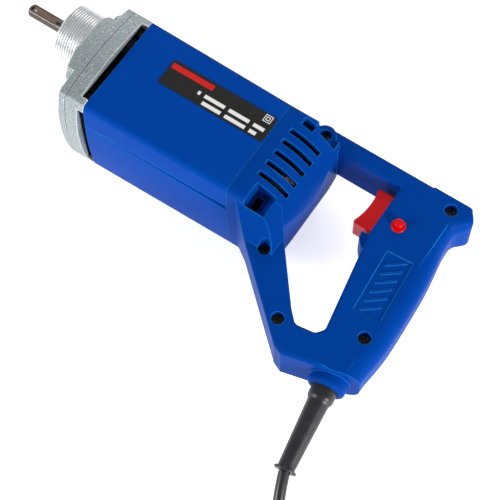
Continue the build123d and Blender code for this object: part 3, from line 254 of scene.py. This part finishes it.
floor_level = -0.041
cord_radius = 0.0035
boot_end = (-0.27116, 0.16412, -0.00633)
coil_middle = np.array([-0.262, 0.270])
join_angle = radians(193.5)
angle_step = 15
last_angle = 360 * 6 + 96
turns_below = 4
outer_lane = 0.0495
upper_lane = 0.03175
lane_pitch = 0.0071
crossing_start = radians(250)
crossing_span = radians(110)
climb_start = radians(turns_below * 360 - 130)
climb_span = radians(75)
upper_level = 0.0063
crossing_rise = 0.0011
turn = np.radians(np.arange(angle_step, last_angle, angle_step))
whole, part = np.divmod(turn, 2 * pi)
change = np.clip((part - crossing_start) / crossing_span, 0, 1)
change = change * change * (3 - 2 * change)
below = whole < turns_below
lane_below = outer_lane - lane_pitch * np.minimum(whole + change, turns_below - 1)
lane_above = upper_lane + lane_pitch * (whole - turns_below + change)
lane = np.where(below, lane_below, lane_above)
lane = np.where(whole == turns_below - 1, lane + change * lane_pitch / 2, lane)
climb = np.clip((turn - climb_start) / climb_span, 0, 1) * (upper_level + crossing_rise)
lift = np.where(below, climb, upper_level + crossing_rise * (change > 0))
angle = join_angle - turn
coil_x = coil_middle[0] + lane * np.cos(angle)
coil_y = coil_middle[1] + lane * np.sin(angle)
rest_height = floor_level + cord_radius
coil_turns = np.column_stack([coil_x, coil_y, lift + rest_height])
way_down = np.array([
    boot_end, (-0.2761, 0.1776, -0.0102), (-0.2833, 0.1888, -0.0195), (-0.2910, 0.2035, -0.0300),
    (-0.2986, 0.2205, rest_height), (-0.3050, 0.2391, rest_height), (-0.30965, 0.25856, rest_height),
])
way_to_plug = np.array([
    (-0.2579, 0.3164, 0.0070), (-0.2460, 0.3168, 0.0074), (-0.2340, 0.3155, 0.0056),
    (-0.2220, 0.3134, 0.0028), (-0.2125, 0.3110, 0.0015), (-0.2030, 0.3080, 0.0015),
])
way_to_plug[:, 2] += rest_height
cord_points = np.vstack([way_down, coil_turns, way_to_plug])
cord_curve = bpy.data.curves.new("power_cord", "CURVE")
cord_curve.dimensions = "3D"
cord_curve.bevel_depth = cord_radius
cord_curve.bevel_resolution = 5
cord_curve.resolution_u = 6
cord_curve.use_fill_caps = True
spline = cord_curve.splines.new("NURBS")
spline.points.add(len(cord_points) - 1)
spline.points.foreach_set("co", np.column_stack([cord_points, np.ones(len(cord_points))]).ravel())
spline.order_u = 3
spline.use_endpoint_u = True
cord = bpy.data.objects.new("power_cord", cord_curve)
bpy.context.collection.objects.link(cord)
cord_curve.materials.append(rubbery("cord_sheath", (0.010, 0.010, 0.012), 0.34, 0.0012, 0.00003))
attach(cord, "housing")
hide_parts("cord", "cord_coil", "cord_tail")

# ---------------------------------------------------------------- strain-relief boot
# A soft black PVC moulding: a straight root that the two shells clamp, a step, a long taper
# that droops a little with the cord's weight, and a thin bead round its end.


def add_surface(name, points, faces, material, body, smooth=True):
    """Puts computed points and faces into a mesh at the origin that rides on a body."""
    mesh = bpy.data.meshes.new(name)
    mesh.from_pydata(np.asarray(points).reshape(-1, 3).tolist(), [], faces)
    mesh.polygons.foreach_set("use_smooth", np.full(len(mesh.polygons), smooth))
    mesh.materials.append(material)
    made = bpy.data.objects.new(name, mesh)
    bpy.context.collection.objects.link(made)
    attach(made, body)
    return made


def ring_faces(rows, around, closed_ends=True, closed_rows=False):
    """Quads between each ring of points and the next, which wrap round, and a cap at each end."""
    r = np.arange(rows if closed_rows else rows - 1)[:, None]
    c = np.arange(around)[None, :]
    near, far = r * around, (r + 1) % rows * around
    after = (c + 1) % around
    quads = np.stack([near + c, near + after, far + after, far + c], -1).reshape(-1, 4).tolist()
    if closed_ends and not closed_rows:
        quads.append(list(range(around))[::-1])
        quads.append(list(range((rows - 1) * around, rows * around)))
    return quads


def tube_along(centre, tangent, radius, around):
    """Rings about a path: its centre plus the radius times a circle square to its tangent."""
    tangent = tangent / np.linalg.norm(tangent, axis=1)[:, None]
    side = np.cross(tangent, [0, 0, 1.0])
    side /= np.linalg.norm(side, axis=1)[:, None]
    other = np.cross(tangent, side)
    a = np.linspace(0, 2 * pi, around, endpoint=False)[None, :, None]
    spoke = np.cos(a) * side[:, None] + np.sin(a) * other[:, None]
    return centre[:, None] + radius[:, None, None] * spoke


foot_hole = np.array([-0.264, 0.107, 0])
out_of_foot = np.array([-0.121, 0.993, 0]) / np.hypot(0.121, 0.993)
droop = np.array([-0.124, 0.982, -0.143])
droop /= np.linalg.norm(droop)
root_length = 0.014
bend_reach = 0.006
bend_at = foot_hole + out_of_foot * root_length
bend_start = bend_at - bend_reach * out_of_foot
bend_end = bend_at + bend_reach * droop
boot_profile = np.array([  # distance from the foot and radius, in millimetres
    (-8.4, 9.4), (-8.2, 9.6), (-5.6, 9.6), (-5.4, 9.4), (-5.4, 7.95), (0, 7.95), (8, 7.95),
    (11.6, 7.85), (12.7, 7.6), (13.4, 7.1), (14.2, 6.75), (15.4, 6.6), (18, 6.5), (30, 6.08),
    (45, 5.6), (54.6, 5.3), (55.6, 5.34), (56.0, 5.6), (56.1, 6.4), (56.5, 6.85), (57.0, 7.0),
    (57.5, 6.85), (57.9, 6.4), (58.0, 5.6), (58.0, 4.2), (57.8, 3.6), (57.0, 3.4),
]) / 1000
fine = np.linspace(0, len(boot_profile) - 1, 4 * len(boot_profile) - 3)
along = np.interp(fine, np.arange(len(boot_profile)), boot_profile[:, 0])
girth = np.interp(fine, np.arange(len(boot_profile)), boot_profile[:, 1])
share = np.clip((along - root_length + bend_reach) / (2 * bend_reach), 0, 1)[:, None]
curved = (1 - share) ** 2 * bend_start + 2 * share * (1 - share) * bend_at + share**2 * bend_end
centre = np.where(share <= 0, foot_hole + along[:, None] * out_of_foot, curved)
centre = np.where(share >= 1, bend_at + (along[:, None] - root_length) * droop, centre)
heading = (1 - share) * out_of_foot + share * droop
boot_rings = tube_along(centre, heading, girth, 56)
boot_finish = rubbery("boot_pvc", (0.011, 0.011, 0.013), 0.36, 0.0005, 0.00006)
boot_faces = ring_faces(len(along), 56)
boot = add_surface("strain_relief_boot", boot_rings, boot_faces, boot_finish, "housing")
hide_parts("cord_boot")

# ---------------------------------------------------------------- plug
# A flat two-pin plug in one black moulding: a ringed neck that opens into a palm-shaped body,
# with two brass pins in its end.
plug_start = np.array([-0.203, 0.308, -0.036])
plug_heading = np.array([19, -6, 0]) / np.hypot(19, 6)
plug_side = np.array([6, 19, 0]) / np.hypot(19, 6)
plug_profile = np.array([  # distance, half width, half height, squareness
    (0, 3.9, 3.9, 2), (0.4, 4.4, 4.4, 2), (2.6, 4.6, 4.6, 2), (3.0, 3.9, 3.9, 2), (4.2, 3.9, 3.9, 2),
    (4.6, 4.7, 4.7, 2), (6.8, 4.8, 4.8, 2), (7.2, 4.0, 4.0, 2), (8.4, 4.0, 4.0, 2), (8.8, 4.9, 4.8, 2),
    (11.5, 5.4, 4.85, 2.2), (15.5, 7.8, 4.9, 2.6), (19.5, 10.6, 4.95, 3.2), (23.5, 11.8, 4.98, 3.8),
    (30, 11.9, 4.98, 4), (35, 11.3, 4.95, 4), (38.6, 10.9, 4.85, 4), (39.7, 10.6, 4.6, 4), (40, 10.0, 4.1, 4),
])
fine = np.linspace(0, len(plug_profile) - 1, 5 * len(plug_profile) - 4)
rank = np.arange(len(plug_profile))
station, half_width, half_height, square = (np.interp(fine, rank, column) for column in plug_profile.T)
a = np.linspace(0, 2 * pi, 64, endpoint=False)[None, :]
across = np.sign(np.cos(a)) * np.abs(np.cos(a)) ** (2 / square[:, None]) * half_width[:, None]
high = np.sign(np.sin(a)) * np.abs(np.sin(a)) ** (2 / square[:, None]) * half_height[:, None]
plug_rings = plug_start + (station[:, None, None] * plug_heading + across[..., None] * plug_side) / 1000
plug_rings = plug_rings + high[..., None] / 1000 * np.array([0, 0, 1.0])
plug_finish = rubbery("plug_pvc", (0.012, 0.012, 0.014), 0.42, 0.0006, 0.00006)
plug_faces = ring_faces(len(station), 64)
plug = add_surface("mains_plug", plug_rings, plug_faces, plug_finish, "housing")
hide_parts("plug_body")

# ---------------------------------------------------------------- coil tie
# A strip of soft black hook-and-loop tape, wrapped over the coil's turns on the side away from the tool.


def strap_over(middle, half_span, rise, width, thick):
    """A band on a raised half oval: outer and inner edge offset along its normal, across the band's width."""
    t = np.linspace(0, pi, 49)
    x = -half_span * np.sign(np.cos(t)) * np.abs(np.cos(t)) ** 0.45
    z = rise * np.sin(t) ** 0.45
    dx, dz = np.gradient(x), np.gradient(z)
    n = np.hypot(dx, dz)
    nx, nz = -dz / n, dx / n
    band = [(0, -1), (0, 1), (1, 1), (1, -1)]
    rows = []
    for layer, side in band:
        outline_z = np.maximum(z + layer * thick * nz, 0)
        rows.append(np.column_stack([x + layer * thick * nx, np.full_like(x, side * width / 2), outline_z]))
    return middle + np.stack(rows, 1)


tie_finish = Finish("hook_tape", (0.03, 0.03, 0.033), 0.85, Specular_IOR_Level=0.2)
weave = tie_finish.axes()
weave_pitch = 0.0011
ribs = (weave[1] * (2 * pi / weave_pitch)).wave() * (weave[0] * (2 * pi / weave_pitch)).wave()
rib_height = ribs * 0.5 + 0.5
tie_finish.feed("Base Color", tie_finish.blend(rib_height, (0.02, 0.02, 0.022, 1), (0.05, 0.05, 0.055, 1)))
tie_finish.relief(rib_height, 0.00015)
tie_middle = np.array([coil_middle[0] + 0.0385, coil_middle[1], floor_level])
tie_rings = strap_over(tie_middle, 0.0150, 0.0145, 0.010, 0.0009)
tie_faces = ring_faces(49, 4)
tie = add_surface("coil_strap", tie_rings, tie_faces, tie_finish.material, "housing", False)
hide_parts("coil_tie")

# ---------------------------------------------------------------- threaded nose
# A bright turned boss, pressed into the front cover. Its fine right-hand thread, 42 mm by 1.75 mm,
# takes the hose's coupling; the mouth in front is bored out round the spindle.
pitch_of_thread = 1.75
thread_depth = 0.5
outer_part = np.linspace(-26.6, -0.35, 526)
nose_profile = [(-31, 14.0), (-31, 18.0), (-27, 18.0), (-27, 19.9)]
nose_profile += [(x, 21.0) for x in outer_part]
nose_profile += [(0, 20.1), (0, 15.5), (-0.5, 15.0), (-9, 15.0), (-9, 11.0)]
nose_profile += [(-15, 11.0), (-15, 8.0), (-21, 8.0), (-21, 14.0)]
nose_profile = np.array(nose_profile)
x = nose_profile[:, 0][:, None]
a = np.linspace(0, 2 * pi, 96, endpoint=False)[None, :]
cut = (0.5 - 0.5 * np.cos(2 * pi * x / pitch_of_thread - a)) * thread_depth
on_thread = nose_profile[:, 1][:, None] > 20.9
run_out = np.clip((-0.2 - x) / 0.8, 0, 1) * np.clip((x + 26.8) / 1.2, 0, 1)
end_bevel = np.clip(1 - np.minimum(-x, x + 27) / 0.9, 0, 1) * 0.7 * on_thread
radius = nose_profile[:, 1][:, None] - cut * on_thread * run_out - end_bevel
nose_points = np.stack([np.broadcast_to(x, radius.shape), radius * np.cos(a), radius * np.sin(a)], -1) / 1000
nose_finish = Finish("turned_alloy", (0.85, 0.85, 0.86), 0.3, 0.55)
turning = nose_finish.noise(0.0016, 2, stretch=(1.0, 0.2, 0.2))
nose_finish.feed("Base Color", nose_finish.blend(turning, (0.76, 0.77, 0.78, 1), (0.95, 0.95, 0.96, 1)))
nose_finish.feed("Roughness", turning * 0.2 + 0.18)
nose_finish.relief(turning, 0.000004)
nose_faces = [face[::-1] for face in ring_faces(len(nose_profile), 96, closed_rows=True)]
nose = add_surface("threaded_boss", nose_points, nose_faces, nose_finish.material, "housing")
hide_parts("threaded_nose")


def paint(finish, *names):
    """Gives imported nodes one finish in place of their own."""
    for name in names:
        slots = nodes[name].data.materials
        slots.clear()
        slots.append(finish.material)


# ---------------------------------------------------------------- spindle
# The output shaft of hardened steel, oiled dark by its quench. Its milled flats have
# worn to a warm brown, and its end is domed. A small near-white spot on a flat by the tip
# is a painted highlight.
spindle_finish = Finish("quenched_steel", (0.16, 0.15, 0.14), 0.34, 0.85)
sx, sy, sz = spindle_finish.axes()
mottle = spindle_finish.noise(0.0012, 4, 0.6)
drawn = spindle_finish.noise(0.0006, 3, stretch=(0.08, 1.0, 1.0))
dark = spindle_finish.blend(mottle, (0.045, 0.040, 0.036, 1), (0.15, 0.13, 0.12, 1))
warm = spindle_finish.blend(drawn, (0.07, 0.05, 0.04, 1), (0.42, 0.28, 0.22, 1))
flat_height = 0.00335
flat = sz.size().above(flat_height) * sx.between(0.0116, 0.0300) * sy.size().below(0.0019)
# Painted highlight: a small near-white spot on the flat near the domed end.
painted_highlight_spot = (sx - 0.0278).size().below(0.0006) * (sy - 0.0006).size().below(0.0006) * sz.above(flat_height)
metal = spindle_finish.blend(flat, dark, warm)
spindle_finish.feed("Base Color", spindle_finish.blend(painted_highlight_spot, metal, (0.80, 0.80, 0.78, 1)))
spindle_finish.feed("Roughness", mottle * 0.3 + 0.24)
spindle_finish.relief(mottle, 0.00005)
paint(spindle_finish, "spindle")

# ---------------------------------------------------------------- castings
# Front cover and gear bracket are pressure die cast in aluminium alloy and shot blasted,
# which leaves a fine speckle; its brightest flecks are painted glints, and the edges carry a
# painted highlight. They meet in a thin dark joint, and their inside seen through the windows
# is painted near-black as shade.
cast_finish = Finish("blasted_casting", (0.42, 0.46, 0.47), 0.5, 0.35, Specular_IOR_Level=0.5)
cx, cy, cz = cast_finish.axes()
speckle = cast_finish.noise(0.0011, 4, 0.75)
# Painted glints: the brightest flecks of the speckle are set near white.
painted_glint = cast_finish.noise(0.0008, 1).above(0.68)
cloud = cast_finish.noise(0.012, 2)
grey = cast_finish.blend((speckle - 0.25) * 2.0, (0.10, 0.13, 0.135, 1), (0.44, 0.50, 0.51, 1))
grey = cast_finish.blend(painted_glint, grey, (0.85, 0.88, 0.90, 1))
grey = cast_finish.blend(cloud * 0.3, grey, (0.40, 0.44, 0.45, 1))
# Painted highlight: rounded edges are lightened to near white, as where they catch the light.
painted_edge_highlight = cast_finish.edges(0.0011, 5.0)
grey = cast_finish.blend(painted_edge_highlight, grey, (0.93, 0.95, 0.97, 1))
joint = cx.between(-0.04130, -0.04080)
motor_axis_y = 0.0185
across = (cy - motor_axis_y).size()
high = cz.size()
# Painted shade: the castings' inside behind x = -49.9 mm, seen through the windows, takes the joint's
# near-black.
painted_shade_inside = cx.below(-0.0499) * across.larger(high).below(0.0362) * across.smaller(high).below(0.0308)
cast_finish.feed("Base Color", cast_finish.blend(joint.larger(painted_shade_inside), grey, (0.012, 0.006, 0.005, 1)))
cast_finish.feed("Roughness", speckle * 0.4 + 0.28)
cast_finish.relief(speckle - joint, 0.00022, 0.0005)
paint(cast_finish, "front_cover", "gear_bracket")

# ---------------------------------------------------------------- black screws
# Socket screws in the flange and pan-headed screws in the handle, all of blackened steel with
# a thin film of oil.
black_finish = Finish("blackened_steel", (0.012, 0.012, 0.013), 0.26, 0.4, Specular_IOR_Level=0.6)
oil = black_finish.noise(0.001, 3)
black_finish.feed("Base Color", black_finish.blend(oil, (0.008, 0.008, 0.009, 1), (0.03, 0.03, 0.032, 1)))
black_finish.feed("Roughness", oil * 0.25 + 0.16)
black_finish.relief(oil, 0.00002)
paint(black_finish, "flange_screws", "handle_screws")

# ---------------------------------------------------------------- blue mouldings
# The barrel and the two clamshell halves are moulded in blue glass-filled nylon with a fine
# satin grain. The halves meet along a hairline joint in the middle of the handle. Their edges
# carry a painted light-blue highlight, and the halves' blue is painted darker as shade.


def nylon(name, joint_axis, joint_at, painted_shade_scale):
    """Blue moulding: slow drift in tone, fine grain, a painted highlight on rounded edges, and a dark
    hairline where the halves meet; a scale below 1 darkens its blue as painted shade.
    """
    finish = Finish(name, (0.0002, 0.052, 0.31), 0.36, IOR=1.07)
    drift = finish.noise(0.03, 2)
    fleck = finish.noise(0.0009, 3, 0.6)
    deep = (0.0001, 0.044 * painted_shade_scale, 0.31 * painted_shade_scale, 1)
    pale = (0.0003, 0.056 * painted_shade_scale, 0.36 * painted_shade_scale, 1)
    tone = finish.blend(drift, deep, pale)
    tone = finish.blend(fleck * 0.12, tone, (0.001, 0.10, 0.48, 1))
    # Painted highlight: rounded edges are lightened towards a pale blue.
    tone = finish.blend(finish.edges(0.0010, 4.0) * 0.75, tone, (0.02, 0.26, 0.75, 1))
    line = (finish.axes()["xyz".index(joint_axis)] - joint_at).size().below(0.00018)
    finish.feed("Base Color", finish.blend(line, tone, (0.0002, 0.008, 0.05, 1)))
    finish.feed("Roughness", fleck * 0.2 + 0.26)
    finish.relief(fleck * 0.15 - line, 0.0003, 0.0009)
    return finish


paint(nylon("barrel_nylon", "x", -0.157, 1.0), "motor_housing")
# The handle's copy of the blue is scaled to 0.84 as painted shade.
paint(nylon("handle_nylon", "z", 0.0, 0.84), "handle_left", "handle_right")

# ---------------------------------------------------------------- nameplate
# A strip of black polyester film stuck on the barrel's left panel. Its print is a red bar
# over two rows of plain white bars and a small double square.
label_low, label_high = (np.array(corner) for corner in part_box("nameplate_label"))
u = np.linspace(-1, 1, 61)[:, None]
v = np.linspace(-1, 1, 33)[None, :]
half = (label_high - label_low) / 2
middle = (label_high + label_low) / 2
corner = 0.0012
pull = np.maximum(np.abs(v) * half[1] - (half[1] - corner), 0)
length = half[0] - corner + np.sqrt(np.maximum(corner**2 - pull**2, 0))
top = np.stack([middle[0] + u * length, middle[1] + v * half[1] + 0 * u, label_high[2] + 0 * u * v], -1)
under = top - np.array([0, 0, 2 * half[2]])
rows, columns = top.shape[:2]
r = np.arange(rows - 1)[:, None]
c = np.arange(columns - 1)[None, :]
near = r * columns + c
far = near + columns
quads = np.stack([near, far, far + 1, near + 1], -1).reshape(-1, 4)
order = np.arange(rows * columns).reshape(rows, columns)
rim = np.concatenate([order[:-1, 0], order[-1, :-1], order[:0:-1, -1], order[0, :0:-1]])
count = rows * columns
walls = np.stack([rim, rim + count, np.roll(rim, -1) + count, np.roll(rim, -1)], -1)
label_faces = quads.tolist() + (quads[:, ::-1] + count).tolist() + walls.tolist()
film = Finish("printed_film", (0.02, 0.02, 0.018), 0.3, IOR=1.25)
fx, fy = film.axes()[:2]
paper = film.noise(0.004, 3)
black = film.blend(paper, (0.010, 0.011, 0.009, 1), (0.020, 0.020, 0.017, 1))
red_bar = fx.between(-0.1125, -0.0825) * fy.between(-0.0006, 0.0032)
gaps = (fx * (2 * pi / 0.0175)).wave().above(-0.86)
row_one = fx.between(-0.1535, -0.1060) * fy.between(0.0072, 0.0097)
row_two = fx.between(-0.1507, -0.1120) * fy.between(0.0119, 0.0144)
square = (fx + 0.1512).size().larger((fy - 0.0006).size())
frames = square.between(0.0021, 0.0026) + square.between(0.0008, 0.0013)
print_white = film.blend((row_one + row_two) * gaps + frames, black, (0.80, 0.80, 0.78, 1))
film.feed("Base Color", film.blend(red_bar, print_white, (0.62, 0.012, 0.010, 1)))
film.feed("Roughness", paper * 0.15 + 0.24)
film.relief(paper, 0.00002)
label_points = np.stack([top, under])
label = add_surface("nameplate", label_points, label_faces, film.material, "housing", False)
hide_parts("nameplate_label")

# ---------------------------------------------------------------- trigger, lock button and collar
# Red ABS mouldings. The trigger's sides are drawn smooth and its front is lightly grained;
# the button's cap has a turned-looking rim and stands out of a red guide ring.


def red_abs(name, color, roughness):
    """Glossy red moulding with a faint flow pattern and grain."""
    finish = Finish(name, color, roughness, IOR=1.3)
    flow = finish.noise(0.005, 3)
    deep = tuple(0.78 * c for c in color)
    finish.feed("Base Color", finish.blend(flow, (*deep, 1), (*color, 1)))
    finish.feed("Roughness", flow * 0.15 + (roughness - 0.07))
    finish.relief(finish.noise(0.0005, 2), 0.00003, 0.0006)
    return finish


paint(red_abs("trigger_abs", (0.85, 0.002, 0.008), 0.33), "trigger")
paint(red_abs("button_abs", (0.74, 0.003, 0.006), 0.26), "lock_button", "lock_collar")

# ---------------------------------------------------------------- bearings, springs and plain steel
# Ground ball bearings with pressed shields, coil springs drawn as sleeves, and plain steel screws.
# The sleeves' dark stripes between the turns are painted shade.
steel_finish = Finish("ground_steel", (0.60, 0.61, 0.62), 0.25, 1.0)
grind = steel_finish.noise(0.0006, 3, stretch=(1.0, 0.15, 0.15))
steel_finish.feed("Base Color", steel_finish.blend(grind, (0.45, 0.46, 0.48, 1), (0.72, 0.72, 0.73, 1)))
steel_finish.feed("Roughness", grind * 0.3 + 0.15)
steel_finish.relief(grind, 0.00002)
paint(
    steel_finish, "spindle_front_bearing", "spindle_rear_bearing", "armature_front_bearing",
    "armature_rear_bearing", "stator_screws", "clamp_screws", "spindle_circlip",
)
wire_finish = Finish("spring_wire", (0.55, 0.55, 0.56), 0.3, 1.0)
wx, wy, wz = wire_finish.axes()
# Painted shade: the dark stripes between the wire's turns stand for the shaded gaps.
turns_and_gap_shade = ((wx + wy + wz) * (2 * pi / 0.0009)).wave() * 0.5 + 0.5
wire_finish.feed("Base Color", wire_finish.blend(turns_and_gap_shade, (0.12, 0.12, 0.12, 1), (0.70, 0.70, 0.70, 1)))
wire_finish.relief(turns_and_gap_shade, 0.0003)
paint(wire_finish, "trigger_spring", "lock_spring", "brush_springs")

# ---------------------------------------------------------------- gears, key and motor shaft
# Case-hardened steel, milled and hobbed, with a smear of grease that darkens it in patches.
gear_finish = Finish("hobbed_steel", (0.30, 0.29, 0.28), 0.35, 1.0)
grease = gear_finish.noise(0.004, 4)
gear_finish.feed("Base Color", gear_finish.blend(grease, (0.16, 0.15, 0.13, 1), (0.46, 0.45, 0.44, 1)))
gear_finish.feed("Roughness", grease * 0.35 + 0.2)
gear_finish.relief(gear_finish.noise(0.0006, 2), 0.00003)
paint(gear_finish, "spindle_gear", "gear_key", "armature_shaft")

# ---------------------------------------------------------------- laminations
# Armature and field stacks are half-millimetre sheets of varnished silicon steel.
stack_finish = Finish("varnished_sheets", (0.25, 0.26, 0.27), 0.45, 0.8)
lx = stack_finish.axes()[0]
sheets = (lx * (2 * pi / 0.001)).wave() * 0.5 + 0.5
varnish = stack_finish.noise(0.006, 3)
layers = sheets * 0.6 + varnish * 0.3
stack_finish.feed("Base Color", stack_finish.blend(layers, (0.13, 0.13, 0.14, 1), (0.36, 0.36, 0.37, 1)))
stack_finish.feed("Roughness", varnish * 0.3 + 0.3)
stack_finish.relief(sheets, 0.0001)
paint(stack_finish, "armature_core", "stator_core")

# ---------------------------------------------------------------- windings
# Enamelled copper wire, wound in layers and dipped in amber varnish.
coil_finish = Finish("enamelled_wire", (0.42, 0.12, 0.04), 0.3, 0.6, Coat_Weight=0.3)
ey, ez = coil_finish.axes()[1:]
strand = ((ey + ez) * (2 * pi / 0.0012)).wave() * 0.5 + 0.5
dip = coil_finish.noise(0.005, 3)
dipped = strand * 0.7 + dip * 0.3
coil_finish.feed("Base Color", coil_finish.blend(dipped, (0.14, 0.03, 0.01, 1), (0.62, 0.22, 0.08, 1)))
coil_finish.feed("Roughness", dip * 0.25 + 0.2)
coil_finish.relief(strand, 0.0003)
paint(coil_finish, "armature_windings", "field_coils")

# ---------------------------------------------------------------- commutator and brush gear
# Turned copper segments, brass guides pressed from sheet, solid brass plug pins, and carbon blocks.
copper_finish = Finish("turned_copper", (0.75, 0.40, 0.25), 0.3, 1.0)
track = copper_finish.noise(0.0008, 3, stretch=(1.0, 0.1, 0.1))
copper_finish.feed("Base Color", copper_finish.blend(track, (0.40, 0.18, 0.10, 1), (0.85, 0.50, 0.32, 1)))
copper_finish.feed("Roughness", track * 0.3 + 0.2)
copper_finish.relief(track, 0.00003)
paint(copper_finish, "commutator")
brass_finish = Finish("pressed_brass", (0.70, 0.52, 0.22), 0.3, 1.0)
tarnish = brass_finish.noise(0.003, 4)
brass_finish.feed("Base Color", brass_finish.blend(tarnish, (0.45, 0.31, 0.12, 1), (0.80, 0.62, 0.30, 1)))
brass_finish.feed("Roughness", tarnish * 0.3 + 0.18)
brass_finish.relief(tarnish, 0.00003)
paint(brass_finish, "brush_holders", "plug_pins")
carbon_finish = Finish("brush_carbon", (0.02, 0.02, 0.02), 0.55)
dust = carbon_finish.noise(0.0006, 3)
carbon_finish.feed("Base Color", carbon_finish.blend(dust, (0.012, 0.012, 0.012, 1), (0.05, 0.05, 0.05, 1)))
carbon_finish.relief(dust, 0.00006)
paint(carbon_finish, "carbon_brushes")

# ---------------------------------------------------------------- black mouldings inside
# Fan, baffle, rear bracket, switch and cord clamp are moulded in black glass-filled plastic.
inside_finish = Finish("black_moulding", (0.012, 0.012, 0.013), 0.5, Specular_IOR_Level=0.35)
flow = inside_finish.noise(0.0015, 4)
fibre = inside_finish.blend(flow, (0.007, 0.007, 0.008, 1), (0.025, 0.025, 0.027, 1))
inside_finish.feed("Base Color", fibre)
inside_finish.feed("Roughness", flow * 0.25 + 0.38)
inside_finish.relief(flow, 0.00005)
paint(inside_finish, "cooling_fan", "air_baffle", "end_bracket", "switch_body", "cord_clamp", "oil_seal")

# ---------------------------------------------------------------- capacitor and inner lead
# A yellow box capacitor filled with resin, and the cord's stripped end with its two cores.
resin = Finish("capacitor_resin", (0.55, 0.40, 0.07), 0.4)
haze = resin.noise(0.002, 3)
resin.feed("Base Color", resin.blend(haze, (0.42, 0.29, 0.04, 1), (0.65, 0.50, 0.10, 1)))
resin.relief(haze, 0.00005)
paint(resin, "suppression_capacitor")
nodes["inner_lead"].data.materials.clear()
nodes["inner_lead"].data.materials.append(rubbery("lead_sheath", (0.010, 0.010, 0.012), 0.4, 0.001, 0.00004))
